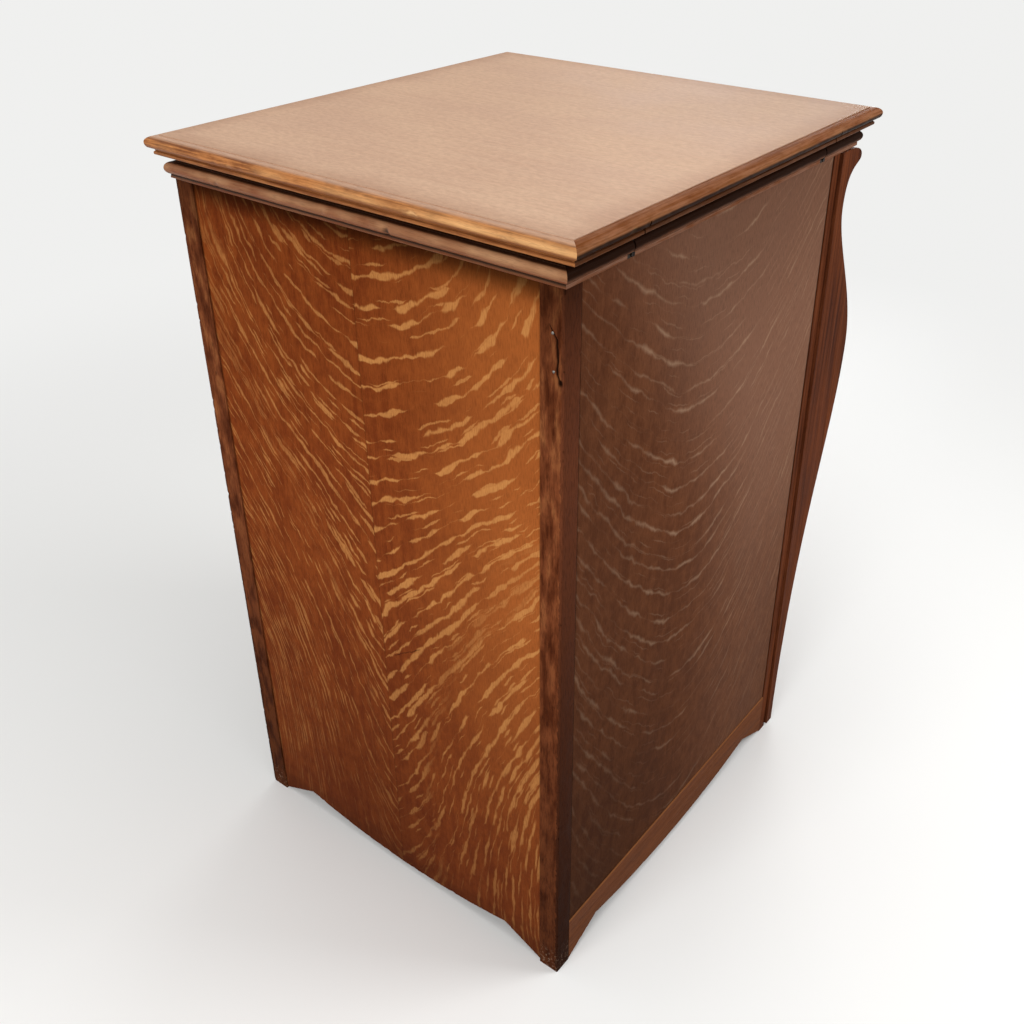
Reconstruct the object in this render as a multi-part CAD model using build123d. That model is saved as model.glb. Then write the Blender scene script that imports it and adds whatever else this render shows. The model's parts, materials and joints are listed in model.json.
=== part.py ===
from build123d import *
import os

# Sewing table: a closed treadle cabinet with a folding lid and a serpentine front door.
# Millimetres. +Z is up, -Y is the front, where the sewer sits, and +X is the sewer's right.
# The origin is on the floor, under the centre of the whole table's box.

# Carcass
body_width = 426.0
frame_depth = 442.0
post_height = 735.2
rear_post_x = 22.0
rear_post_y = 20.0
front_post_x = 22.0
front_post_y = 13.0
panel_thickness = 10.0
side_panel_recess = 1.0
back_panel_recess = 1.5
tongue_thickness = 4.0
tongue_length = 5.0
side_rail_height = 57.5
front_rail_height = 45.0

# Scalloped lower edges of the back and the sides
toe_height = 0.4
apex_height = 22.0
apex_from_post = 47.0
belly_height = 8.0

# Bed: board, moulding and openings
bed_thickness = 15.0
bed_overhang_front = 27.5
moulding_width = 20.0
moulding_overhang = 6.0
moulding_band_overhang = 2.5
moulding_band_height = 3.2
moulding_bull_radius = 5.6
moulding_top_step = 0.6
head_opening_x = 300.0
head_opening_y = 170.0
head_opening_left = -178.0
head_opening_front = -95.0
belt_slot_x = 22.0
belt_slot_y = 140.0

# Lid
lid_seat_gap = 0.3
lid_thickness = 21.5
lid_overhang_side = 18.5
lid_overhang_back = 13.0
lid_overhang_front = 15.5
lid_edge_width = 9.5
lid_edge_quirk = 0.6
lid_round_height = 5.6
lid_under_height = 5.0
lid_under_inset = 3.4
lid_cove_hollow = 0.9
lid_cove_bottom = 7.7
lid_bead_bottom = 4.4
lid_cove_inset = 6.2
lid_bead_inset = 4.9
lid_foot_inset = 17.0

# Lid link hinges
lid_axis_drop = 11.8
lid_axis_inset = -0.5
link_thickness = 1.5
link_slot = 1.9
link_end_radius = 3.0
link_pin_radius = 1.5
link_slot_relief = 0.5
link_plate_length = 34.0
link_plate_width = 15.0
link_plate_thickness = 2.0
link_cheek = 4.0
link_end_inset = 90.0

# Door. Its outline is given as depths in front of the door's back plane and drops below its top,
# with the length of the upright handle that shapes the curve on each side of a turning point
door_gap = 0.6
door_proud = 3.0
door_stile_width = 44.0
door_foot_height = 5.0
door_top_gap = 1.7
ear_top_depth = 21.0
ear_tip_depth = 44.0
ear_tip_drop = 10.5
ear_handle = 10.0
neck_depth = 15.0
neck_drop = 57.5
neck_upper_handle = 45.0
neck_lower_handle = 41.0
belly_depth = 75.4
belly_drop = 225.0
belly_upper_handle = 64.0
belly_lower_handle = 118.0
toe_depth = 12.5
toe_handle = 300.0
door_rail_setback = 1.5
door_top_rail_height = 44.0
door_bottom_rail_height = 110.0
door_panel_setback = 3.0
door_panel_thickness = 8.0
door_panel_tongue = 6.0

# Door hinges
hinge_height = 60.0
hinge_from_top = 115.0
hinge_from_bottom = 80.0
hinge_leaf_thickness = 1.5
hinge_leaf_reach = 21.0
hinge_knuckle_radius = 4.0
hinge_knuckle_clear = 0.8
hinge_pin_radius = 2.0
hinge_end_gap = 0.3
running_clearance = 0.05

# Door turn catch
catch_from_edge = 32.0
spindle_radius = 4.0
rosette_radius = 10.5
rosette_thickness = 2.0
rosette_seat = 1.0
knob_neck_radius = 5.0
knob_radius = 12.5
knob_length = 24.0
knob_neck_length = 6.0
knob_widest_at = 15.0
knob_face_radius = 9.0
knob_face_at = 22.0
catch_arm_length = 16.0
catch_arm_width = 11.0
catch_arm_thickness = 3.0
strike_thickness = 1.5
strike_gap = 0.5
strike_height = 26.0

# Treadle
treadle_axis_height = 66.0
treadle_axis_from_front = 149.5
treadle_rod_radius = 6.0
treadle_left = -150.0
treadle_right = 105.0
treadle_front_reach = 112.0
treadle_rear_reach = 95.0
treadle_plate_rise = 8.0
treadle_plate_thickness = 8.0
treadle_rim = 13.0
treadle_corner = 22.0
lattice_pitch = 44.0
lattice_bar = 7.0
treadle_boss_radius = 12.0
treadle_boss_length = 26.0
treadle_arm_reach = 120.0
treadle_arm_width = 14.0
treadle_arm_height = 16.0
bracket_plate = 54.0
bracket_plate_thickness = 5.0
bracket_boss_radius = 13.0
bracket_boss_length = 20.0

# Pitman and band wheel
pitman_pin_radius = 5.0
pitman_eye_radius = 12.0
pitman_collar_radius = 8.5
pitman_eye_width = 12.0
pitman_side_gap = 4.0
pitman_shank_length = 26.0
pitman_socket_radius = 10.0
pitman_rod_radius = 7.5
pitman_height = 224.0
crank_radius = 29.0
crank_gap = 0.4
crank_boss_radius = 11.0
crank_boss_height = 10.0
wheel_radius = 150.0
wheel_rim_depth = 12.0
wheel_rim_width = 20.0
wheel_groove_depth = 3.5
wheel_groove_width = 9.0
wheel_web_width = 8.0
wheel_hub_radius = 20.0
wheel_hub_overrun = 7.0
wheel_spokes = 8
wheel_spoke_width = 13.0
wheel_spoke_root = 13.5
stud_radius = 9.0
stud_collar_radius = 15.0
stud_collar_width = 6.0
wheel_bracket_gap = 1.0
wheel_bracket_width = 80.0
wheel_bracket_height = 150.0
wheel_bracket_thickness = 7.0
wheel_bracket_boss_radius = 19.0

# Head hinges at the back of the head opening
head_hinge_spacing = 190.0
head_plate_width = 30.0
head_plate_length = 36.0
head_plate_thickness = 3.0
head_lug_width = 6.0
head_leaf_width = 14.0
head_leaf_gap = 0.4
head_axis_out = 9.0
head_axis_drop = 9.0
head_knuckle_radius = 6.5
head_shoulder_depth = 11.0
head_pivot_radius = 2.5
head_pin_radius = 4.75
head_pin_length = 24.0

# Derived planes and levels
half_width = body_width / 2
overall_depth = lid_overhang_back + frame_depth + door_gap + belly_depth
lid_back = overall_depth / 2
body_back = lid_back - lid_overhang_back
posts_front = body_back - frame_depth
bed_front = posts_front - bed_overhang_front
lid_front = bed_front - lid_overhang_front
door_back = posts_front - door_gap
lid_half_width = half_width + lid_overhang_side
bed_bottom = post_height
bed_top = bed_bottom + bed_thickness
lid_bottom = bed_top + lid_seat_gap
lid_top = lid_bottom + lid_thickness
post_inner_x = half_width - rear_post_x
front_post_inner_x = half_width - front_post_x
panel_outer_x = half_width - side_panel_recess
panel_inner_x = panel_outer_x - panel_thickness
back_panel_outer_y = body_back - back_panel_recess
back_panel_inner_y = back_panel_outer_y - panel_thickness
rear_post_front = body_back - rear_post_y
front_post_back = posts_front + front_post_y
door_half_width = half_width + door_proud
door_top = bed_bottom - door_top_gap


def block(x0, x1, y0, y1, z0, z1):
    """Rectangular solid between two corners."""
    return Pos(x0, y0, z0) * Box(x1 - x0, y1 - y0, z1 - z0, align=(Align.MIN,) * 3)


def round_x(radius, x0, x1, y, z):
    """Cylinder along X."""
    solid = Cylinder(radius, x1 - x0, align=(Align.CENTER, Align.CENTER, Align.MIN))
    return Pos(x0, y, z) * Rot(0, 90, 0) * solid


def round_y(radius, x, y0, y1, z):
    """Cylinder along Y."""
    solid = Cylinder(radius, y1 - y0, align=(Align.CENTER, Align.CENTER, Align.MIN))
    return Pos(x, y0, z) * Rot(-90, 0, 0) * solid


def round_z(radius, x, y, z0, z1):
    """Cylinder along Z."""
    solid = Cylinder(radius, z1 - z0, align=(Align.CENTER, Align.CENTER, Align.MIN))
    return Pos(x, y, z0) * solid


def slab_x(face, x0, x1):
    """A face drawn in (Y, Z), extruded from x0 to x1."""
    return Pos(x0, 0, 0) * extrude(Plane.YZ * face, x1 - x0)


def slab_y(face, y0, y1):
    """A face drawn in (X, Z), extruded from y0 to y1."""
    return Pos(0, y1, 0) * extrude(Plane.XZ * face, y1 - y0)


def mirror_x(solid):
    """The same solid on the other side of the table."""
    return mirror(solid, Plane.YZ)


def save(name, *solids):
    """Writes one node, of one solid or of several like ones."""
    shape = solids[0] if len(solids) == 1 else Compound(children=[s.solids()[0] for s in solids])
    export_step(shape, f"parts/{name}.step")


def scallop(length, top):
    """Face of a board with a scalloped lower edge: toes, ramps to two apexes and a low belly between."""
    half = length / 2
    apex = half - apex_from_post
    lower = [
        Line((-half, toe_height), (-apex, apex_height)),
        ThreePointArc((-apex, apex_height), (0, belly_height), (apex, apex_height)),
        Line((apex, apex_height), (half, toe_height)),
    ]
    upper = Polyline((half, toe_height), (half, top), (-half, top), (-half, toe_height))
    return make_face(Curve() + lower + upper)


def mitred_frame(section, x_half, y0, y1, width):
    """Four mitred lengths of a moulding round a rectangle. The section is drawn as (inset, height)."""
    y_mid = (y0 + y1) / 2
    reach = 2 * (x_half + y1 - y0)
    sides = {
        "left": ((-x_half, y_mid), (1, 0, 0), (0, -1, 0)),
        "right": ((x_half, y_mid), (-1, 0, 0), (0, 1, 0)),
        "front": ((0, y0), (0, 1, 0), (1, 0, 0)),
        "back": ((0, y1), (0, -1, 0), (-1, 0, 0)),
    }
    outer = [(-x_half, y0), (x_half, y0), (x_half, y1), (-x_half, y1)]
    inner = [
        (-x_half + width, y0 + width),
        (x_half - width, y0 + width),
        (x_half - width, y1 - width),
        (-x_half + width, y1 - width),
    ]
    corners = {"front": (0, 1), "right": (1, 2), "back": (2, 3), "left": (3, 0)}
    pieces = {}
    for name, (origin, inward, along) in sides.items():
        plane = Plane(origin=(*origin, 0), x_dir=inward, z_dir=along)
        bar = extrude(plane * section, reach / 2, both=True)
        first, second = corners[name]
        mitre = Polyline(outer[first], outer[second], inner[second], inner[first], close=True)
        pieces[name] = bar & extrude(make_face(mitre), 2 * lid_top)
    return pieces


# Side panels and rails
def make_side_panel():
    """Left side panel, tongued into the posts and the rail."""
    sheet = block(
        -panel_outer_x,
        -panel_inner_x,
        front_post_back,
        rear_post_front,
        side_rail_height,
        post_height,
    )
    tongue_out = panel_outer_x - (panel_thickness - tongue_thickness) / 2
    tongue = block(
        -tongue_out,
        -tongue_out + tongue_thickness,
        front_post_back - tongue_length,
        rear_post_front + tongue_length,
        side_rail_height - tongue_length,
        post_height,
    )
    return sheet + tongue


def make_side_rail(panel):
    """Left bottom rail, flush with the posts outside and with the panel inside."""
    length = rear_post_front - front_post_back
    face = Pos((rear_post_front + front_post_back) / 2, 0) * scallop(length, side_rail_height)
    return slab_x(face, -half_width, -panel_inner_x) - panel


def make_back_panel():
    """Back panel with its scalloped lower edge, tongued into the rear posts."""
    sheet = slab_y(scallop(2 * post_inner_x, post_height), back_panel_inner_y, back_panel_outer_y)
    tongue_out = back_panel_outer_y - (panel_thickness - tongue_thickness) / 2
    tongue = block(
        -post_inner_x - tongue_length,
        post_inner_x + tongue_length,
        tongue_out - tongue_thickness,
        tongue_out,
        apex_height + tongue_length,
        post_height,
    )
    return sheet + tongue


side_panel_left = make_side_panel()
side_rail_left = make_side_rail(side_panel_left)
back_panel = make_back_panel()
side_panel_right = mirror_x(side_panel_left)
side_rail_right = mirror_x(side_rail_left)

# Posts
rear_blank = block(-half_width, -post_inner_x, rear_post_front, body_back, 0, post_height)
post_rear_left = rear_blank - side_panel_left - back_panel
post_rear_right = mirror_x(post_rear_left)
front_blank = block(-half_width, -front_post_inner_x, posts_front, front_post_back, 0, post_height)
post_front_left = front_blank - side_panel_left
front_rail = block(
    -front_post_inner_x,
    front_post_inner_x,
    posts_front,
    front_post_back,
    post_height - front_rail_height,
    post_height,
)

# Bed moulding and board
bed_tip_x = half_width + moulding_overhang
bed_tip_front = bed_front - moulding_overhang
bed_tip_back = body_back + moulding_overhang
moulding_depth = moulding_width + moulding_overhang
bull_low = bed_bottom + moulding_band_height
bull_high = bull_low + 2 * moulding_bull_radius
band_inset = moulding_overhang - moulding_band_overhang
moulding_lines = [
    Polyline(
        (moulding_bull_radius, bull_high),
        (moulding_overhang + moulding_top_step, bull_high),
        (moulding_overhang + moulding_top_step, bed_top),
        (moulding_depth, bed_top),
        (moulding_depth, bed_bottom),
        (band_inset, bed_bottom),
        (band_inset, bull_low),
        (moulding_bull_radius, bull_low),
    ),
    ThreePointArc(
        (moulding_bull_radius, bull_low),
        (0, bull_low + moulding_bull_radius),
        (moulding_bull_radius, bull_high),
    ),
]
moulding_section = make_face(Curve() + moulding_lines)
bed_moulding = mitred_frame(moulding_section, bed_tip_x, bed_tip_front, bed_tip_back, moulding_depth)
bed_board_x = half_width - moulding_width
bed_board = block(
    -bed_board_x,
    bed_board_x,
    bed_front + moulding_width,
    body_back - moulding_width,
    bed_bottom,
    bed_top,
)

# Lid
edge_top = lid_top - lid_edge_quirk
round_low = edge_top - lid_round_height
cove_low = lid_bottom + lid_cove_bottom
bead_low = lid_bottom + lid_bead_bottom
round_start = lid_edge_width - 2 * lid_edge_quirk
under_low = round_low - lid_under_height
cove_mid = (lid_under_inset + lid_cove_inset) / 2 + lid_cove_hollow
cove_mid_height = (under_low + cove_low) / 2 + lid_cove_hollow
lid_edge_lines = [
    Polyline(
        (lid_bead_inset + lid_edge_quirk, bead_low),
        (lid_edge_width, bead_low),
        (lid_edge_width, edge_top),
        (round_start, edge_top),
    ),
    EllipticalCenterArc(
        (round_start, round_low), round_start, lid_round_height, start_angle=90, arc_size=90
    ),
    EllipticalCenterArc(
        (lid_under_inset, round_low), lid_under_inset, lid_under_height, start_angle=180, arc_size=90
    ),
    ThreePointArc(
        (lid_under_inset, under_low),
        (cove_mid, cove_mid_height),
        (lid_cove_inset, cove_low),
    ),
    ThreePointArc(
        (lid_cove_inset, cove_low),
        (lid_bead_inset, (cove_low + bead_low) / 2),
        (lid_bead_inset + lid_edge_quirk, bead_low),
    ),
]
lid_edge_section = make_face(Curve() + lid_edge_lines)
lid_edges = mitred_frame(lid_edge_section, lid_half_width, lid_front, lid_back, lid_edge_width)
lid_depth = lid_back - lid_front
lid_mid_y = (lid_back + lid_front) / 2


def lid_rectangle(inset, height):
    """Outline of the lid drawn in by an inset, at one height."""
    return Pos(0, lid_mid_y, height) * Rectangle(2 * (lid_half_width - inset), lid_depth - 2 * inset)


lid_panel = extrude(lid_rectangle(lid_edge_width, bead_low), lid_top - bead_low)
lid_panel += loft([lid_rectangle(lid_foot_inset, lid_bottom), lid_rectangle(lid_edge_width, bead_low)])

# Lid link hinges: each link turns on a pin in the bed and carries a pin in the lid
lid_axis_x = -(half_width - lid_axis_inset)
bed_axis_z = bed_top - lid_axis_drop
lid_axis_z = lid_bottom + lid_axis_drop
link_places = [lid_front + link_end_inset, lid_back - link_end_inset]
link_slot_end = lid_axis_x + link_end_radius + link_slot_relief
bed_plates, lid_plates, links, bed_pins, lid_pins = [], [], [], [], []
for y in link_places:
    y0, y1 = y - link_slot / 2, y + link_slot / 2
    slot_top = lid_axis_z + link_end_radius + link_slot_relief
    slot = block(-lid_half_width, link_slot_end, y0, y1, bed_bottom, slot_top)
    plate_y0, plate_y1 = y - link_plate_width / 2, y + link_plate_width / 2
    plate_x1 = link_slot_end + link_plate_length
    cheek_y0, cheek_y1 = y0 - link_cheek, y1 + link_cheek
    cheek_x0 = lid_axis_x - link_end_radius
    bed_cheek = block(cheek_x0, link_slot_end + link_cheek, cheek_y0, cheek_y1, bed_bottom, bed_top)
    bed_plate = block(cheek_x0, plate_x1, plate_y0, plate_y1, bed_top - link_plate_thickness, bed_top)
    bed_plate = (bed_plate + bed_cheek) & (bed_moulding["left"] + bed_board)
    lid_cheek = block(cheek_x0, link_slot_end + link_cheek, cheek_y0, cheek_y1, lid_bottom, slot_top)
    lid_plate = block(cheek_x0, plate_x1, plate_y0, plate_y1, lid_bottom, lid_bottom + link_plate_thickness)
    lid_plate = (lid_plate + lid_cheek) & lid_panel
    bed_pin = round_y(link_pin_radius, lid_axis_x, cheek_y0, cheek_y1, bed_axis_z)
    lid_pin = round_y(link_pin_radius, lid_axis_x, cheek_y0, cheek_y1, lid_axis_z)
    link = block(
        lid_axis_x - link_end_radius,
        lid_axis_x + link_end_radius,
        y - link_thickness / 2,
        y + link_thickness / 2,
        bed_axis_z,
        lid_axis_z,
    )
    for z in (bed_axis_z, lid_axis_z):
        link += round_y(link_end_radius, lid_axis_x, y - link_thickness / 2, y + link_thickness / 2, z)
    for z in (bed_axis_z, lid_axis_z):
        bore_radius = link_pin_radius + running_clearance
        link -= round_y(bore_radius, lid_axis_x, y0, y1, z)
    bed_moulding["left"] -= bed_plate + slot
    bed_board -= bed_plate
    lid_panel -= lid_plate + slot
    lid_edges["left"] -= slot
    bed_plates.append(bed_plate - slot - bed_pin)
    lid_plates.append(lid_plate - slot - lid_pin)
    links.append(link)
    bed_pins.append(bed_pin)
    lid_pins.append(lid_pin)

# Door, sawn to a serpentine outline
ear_tip = Vector(door_back - ear_tip_depth, door_top - ear_tip_drop)
neck = Vector(door_back - neck_depth, door_top - neck_drop)
belly = Vector(door_back - belly_depth, door_top - belly_drop)
toe = Vector(door_back - toe_depth, door_foot_height)


def upright_curve(start, start_handle, end, end_handle):
    """S-shaped curve between two turning points of the outline, upright at both."""
    return Bezier(start, start - Vector(0, start_handle), end + Vector(0, end_handle), end)


door_lines = [
    Polyline(
        toe,
        (door_back, door_foot_height),
        (door_back, door_top),
        (door_back - ear_top_depth, door_top),
    ),
    EllipticalCenterArc(
        (door_back - ear_top_depth, door_top - ear_tip_drop),
        ear_tip_depth - ear_top_depth,
        ear_tip_drop,
        start_angle=90,
        arc_size=90,
    ),
    upright_curve(ear_tip, ear_handle, neck, neck_upper_handle),
    upright_curve(neck, neck_lower_handle, belly, belly_upper_handle),
    upright_curve(belly, belly_lower_handle, toe, toe_handle),
]
door_outline = make_face(Curve() + door_lines)
door_inner_x = door_half_width - door_stile_width
door_top_rail_z = door_top - door_top_rail_height


def door_slice(setback, x_half, z0, z1):
    """A slice of the serpentine form, set back from the stiles' edges."""
    solid = Pos(0, setback, 0) * slab_x(door_outline, -x_half, x_half)
    front = door_back - belly_depth - ear_tip_depth
    return solid & block(-x_half, x_half, front, door_back, z0, z1)


panel_x = door_inner_x + door_panel_tongue
panel_z0 = door_bottom_rail_height - door_panel_tongue
panel_z1 = door_top_rail_z + door_panel_tongue
door_panel = door_slice(door_panel_setback, panel_x, panel_z0, panel_z1)
door_panel -= door_slice(door_panel_setback + door_panel_thickness, panel_x, panel_z0, panel_z1)
door_top_rail = door_slice(door_rail_setback, door_inner_x, door_top_rail_z, door_top) - door_panel
door_bottom_rail = (
    door_slice(door_rail_setback, door_inner_x, door_foot_height, door_bottom_rail_height) - door_panel
)
door_stile_left = slab_x(door_outline, -door_half_width, -door_inner_x) - door_panel
door_stile_right = slab_x(door_outline, door_inner_x, door_half_width) - door_panel
post_front_right = mirror_x(post_front_left)

# Door hinges on the right, with their knuckles at the outer corner
hinge_x = door_half_width + hinge_knuckle_radius + hinge_knuckle_clear
hinge_y = (posts_front + door_back) / 2
leaf_end_x = door_half_width
leaf_start_x = leaf_end_x - hinge_leaf_reach
knuckle_third = hinge_height / 3
hinge_levels = [door_top - hinge_from_top, door_foot_height + hinge_from_bottom]
post_leaves, door_leaves, hinge_pins = [], [], []
for z in hinge_levels:
    z0, z1 = z - hinge_height / 2, z + hinge_height / 2
    mid0, mid1 = z - knuckle_third / 2, z + knuckle_third / 2
    post_leaf = block(leaf_start_x, leaf_end_x, posts_front, posts_front + hinge_leaf_thickness, z0, z1)
    door_leaf = block(leaf_start_x, leaf_end_x, door_back - hinge_leaf_thickness, door_back, z0, z1)
    post_front_right -= post_leaf
    door_stile_right -= door_leaf
    for low, high in ((z0, mid0 - hinge_end_gap), (mid1 + hinge_end_gap, z1)):
        post_leaf += block(leaf_end_x, hinge_x, posts_front, posts_front + hinge_leaf_thickness, low, high)
        post_leaf += round_z(hinge_knuckle_radius, hinge_x, hinge_y, low, high)
    door_leaf += block(leaf_end_x, hinge_x, door_back - hinge_leaf_thickness, door_back, mid0, mid1)
    door_leaf += round_z(hinge_knuckle_radius, hinge_x, hinge_y, mid0, mid1)
    bore = round_z(hinge_pin_radius + running_clearance, hinge_x, hinge_y, z0, z1)
    post_leaves.append(post_leaf - bore)
    door_leaves.append(door_leaf - bore)
    pin_head = round_z(hinge_knuckle_radius, hinge_x, hinge_y, z1, z1 + hinge_leaf_thickness)
    hinge_pins.append(round_z(hinge_pin_radius, hinge_x, hinge_y, z0, z1) + pin_head)

# Door turn catch on the left stile, at the neck of the curve
catch_x = -door_half_width + catch_from_edge
catch_z = door_top - neck_drop
catch_front = door_back - neck_depth
strike_y = front_post_back + strike_thickness
arm_y0 = strike_y + strike_gap
arm_y1 = arm_y0 + catch_arm_thickness
rosette_front = catch_front - rosette_thickness
latch_strike = block(
    -half_width + side_panel_recess,
    -front_post_inner_x,
    front_post_back,
    strike_y,
    catch_z - strike_height / 2,
    catch_z + strike_height / 2,
)
latch_strike -= block(-half_width, -panel_inner_x, front_post_back, strike_y, 0, post_height)
bore_radius = spindle_radius + running_clearance
spindle_bore = round_y(bore_radius, catch_x, catch_front - knob_length, door_back, catch_z)
rosette = round_y(rosette_radius, catch_x, rosette_front, catch_front + rosette_seat, catch_z)
knob_rosette = rosette - spindle_bore
door_stile_left -= rosette + spindle_bore
knob_end = rosette_front - hinge_end_gap
latch_spindle = round_y(spindle_radius, catch_x, knob_end - knob_length / 2, arm_y1, catch_z)
knob_lines = [
    Polyline(
        (0, 0),
        (knob_neck_radius + rosette_thickness, 0),
        (knob_neck_radius, knob_neck_length),
    ),
    Spline(
        (knob_neck_radius, knob_neck_length),
        (knob_radius, knob_widest_at),
        (knob_face_radius, knob_face_at),
        (0, knob_length),
        tangents=((knob_radius, knob_neck_radius), (-1, 0)),
    ),
    Line((0, knob_length), (0, 0)),
]
knob_turned = revolve(Plane.XZ * make_face(Curve() + knob_lines), Axis.Z)
door_knob = Pos(catch_x, knob_end, catch_z) * Rot(90, 0, 0) * knob_turned - latch_spindle
arm_bar = block(
    catch_x - catch_arm_width / 2,
    catch_x + catch_arm_width / 2,
    arm_y0,
    arm_y1,
    catch_z - catch_arm_length,
    catch_z,
)
latch_arm = arm_bar + round_y(catch_arm_width / 2, catch_x, arm_y0, arm_y1, catch_z) - latch_spindle

# Head opening and belt slot in the bed
head_opening_back = head_opening_front + head_opening_y
head_opening_right = head_opening_left + head_opening_x
bed_board -= block(
    head_opening_left, head_opening_right, head_opening_front, head_opening_back, bed_bottom, bed_top
)

# Treadle on its cross rod
treadle_axis_y = posts_front + treadle_axis_from_front
bracket_face = panel_inner_x
plate_face = bracket_face - bracket_plate_thickness
boss_face = plate_face - bracket_boss_length
bracket_base = block(
    -bracket_face,
    -plate_face,
    treadle_axis_y - bracket_plate / 2,
    treadle_axis_y + bracket_plate / 2,
    treadle_axis_height - bracket_plate / 2,
    treadle_axis_height + bracket_plate / 2,
)
treadle_rod = round_x(treadle_rod_radius, -plate_face, plate_face, treadle_axis_y, treadle_axis_height)
bracket_boss = round_x(bracket_boss_radius, -plate_face, -boss_face, treadle_axis_y, treadle_axis_height)
bracket_web = block(
    -plate_face,
    -boss_face,
    treadle_axis_y - bracket_plate_thickness / 2,
    treadle_axis_y + bracket_plate_thickness / 2,
    treadle_axis_height - bracket_plate / 2,
    treadle_axis_height,
)
treadle_bracket_left = bracket_base + bracket_boss + bracket_web - treadle_rod
treadle_bracket_right = mirror_x(treadle_bracket_left)

treadle_low = treadle_axis_height + treadle_plate_rise
treadle_high = treadle_low + treadle_plate_thickness
treadle_width = treadle_right - treadle_left
treadle_length = treadle_front_reach + treadle_rear_reach
treadle_mid_x = (treadle_left + treadle_right) / 2
treadle_mid_y = treadle_axis_y + (treadle_rear_reach - treadle_front_reach) / 2
treadle_face = RectangleRounded(treadle_width, treadle_length, treadle_corner)
lattice_window = Rectangle(treadle_width - 2 * treadle_rim, treadle_length - 2 * treadle_rim)
diamond_side = lattice_pitch / 2**0.5 - lattice_bar
columns = int(treadle_width / lattice_pitch) + 1
rows = int(treadle_length / lattice_pitch) + 1
diamonds = []
for column in range(-columns, columns + 1):
    for row in range(-rows, rows + 1):
        if (column + row) % 2 == 0:
            place = Pos(column * lattice_pitch / 2, row * lattice_pitch / 2)
            diamonds.append(place * Rot(0, 0, 45) * Rectangle(diamond_side, diamond_side))
lattice_holes = lattice_window & (Sketch() + diamonds)
treadle_place = Pos(treadle_mid_x, treadle_mid_y, treadle_low)
treadle_plate = treadle_place * extrude(treadle_face - lattice_holes, treadle_plate_thickness)
for x in (treadle_left + treadle_corner, treadle_right - treadle_corner - treadle_boss_length):
    treadle_plate += round_x(
        treadle_boss_radius, x, x + treadle_boss_length, treadle_axis_y, treadle_axis_height
    )
rib_x0 = treadle_left + treadle_corner
rib_x1 = treadle_right - treadle_corner
treadle_plate += block(
    rib_x0,
    rib_x1,
    treadle_axis_y - treadle_boss_radius,
    treadle_axis_y + treadle_boss_radius,
    treadle_low,
    treadle_high,
)
pitman_y = treadle_axis_y + treadle_arm_reach
arm_x0 = treadle_right - treadle_rim
arm_x1 = arm_x0 + treadle_arm_width
treadle_plate += block(
    arm_x0, arm_x1, treadle_axis_y, pitman_y, treadle_high - treadle_arm_height, treadle_high
)
treadle_plate += round_x(pitman_eye_radius, arm_x0, arm_x1, pitman_y, treadle_axis_height)
treadle_plate -= round_x(
    treadle_rod_radius + running_clearance, treadle_left, arm_x1, treadle_axis_y, treadle_axis_height
)
treadle_plate -= round_x(
    pitman_pin_radius + running_clearance, arm_x0, arm_x1, pitman_y, treadle_axis_height
)

# Pitman, upright from the treadle arm to the crank
eye_x0 = arm_x1 + pitman_side_gap
eye_x1 = eye_x0 + pitman_eye_width
eye_mid = (eye_x0 + eye_x1) / 2
crank_z = treadle_axis_height + pitman_height
crank_face = eye_x1 + crank_boss_height / 2
lower_pin = round_x(pitman_pin_radius, arm_x0, eye_x1, pitman_y, treadle_axis_height)
lower_pin += round_x(pitman_collar_radius, arm_x1 + hinge_end_gap, eye_x0, pitman_y, treadle_axis_height)
crank_pin = round_x(pitman_pin_radius, eye_x0, crank_face - crank_gap, pitman_y, crank_z)
lower_socket = round_z(
    pitman_socket_radius,
    eye_mid,
    pitman_y,
    treadle_axis_height,
    treadle_axis_height + pitman_eye_radius + pitman_shank_length,
)
upper_socket = round_z(
    pitman_socket_radius, eye_mid, pitman_y, crank_z - pitman_eye_radius - pitman_shank_length, crank_z
)
pitman_rod = round_z(
    pitman_rod_radius,
    eye_mid,
    pitman_y,
    treadle_axis_height + pitman_eye_radius,
    crank_z - pitman_eye_radius,
)
eye_band = block(
    eye_x0, eye_x1, pitman_y - pitman_socket_radius, pitman_y + pitman_socket_radius, 0, bed_bottom
)
lower_end = round_x(pitman_eye_radius, eye_x0, eye_x1, pitman_y, treadle_axis_height)
lower_end = lower_end + (lower_socket & eye_band) - lower_pin - pitman_rod
upper_end = round_x(pitman_eye_radius, eye_x0, eye_x1, pitman_y, crank_z)
upper_end = upper_end + (upper_socket & eye_band) - crank_pin - pitman_rod
pitman_rod = pitman_rod & eye_band

# Band wheel on a stud
wheel_y = pitman_y - crank_radius
rim_x0 = crank_face + crank_boss_height
rim_x1 = rim_x0 + wheel_rim_width
rim_mid = (rim_x0 + rim_x1) / 2
hub_x0 = rim_x0 - wheel_hub_overrun
hub_x1 = rim_x1 + wheel_hub_overrun
groove_floor = wheel_radius - wheel_groove_depth
rim_inner = wheel_radius - wheel_rim_depth
half_rim = wheel_rim_width / 2
half_groove = wheel_groove_width / 2
rim_section = Polyline(
    (-half_rim, rim_inner),
    (half_rim, rim_inner),
    (half_rim, wheel_radius),
    (half_groove, wheel_radius),
    (0, groove_floor),
    (-half_groove, wheel_radius),
    (-half_rim, wheel_radius),
    close=True,
)
rim_ring = Pos(rim_mid, wheel_y, crank_z) * revolve(make_face(rim_section), Axis.X)
band_wheel = rim_ring + round_x(wheel_hub_radius, hub_x0, hub_x1, wheel_y, crank_z)
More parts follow.
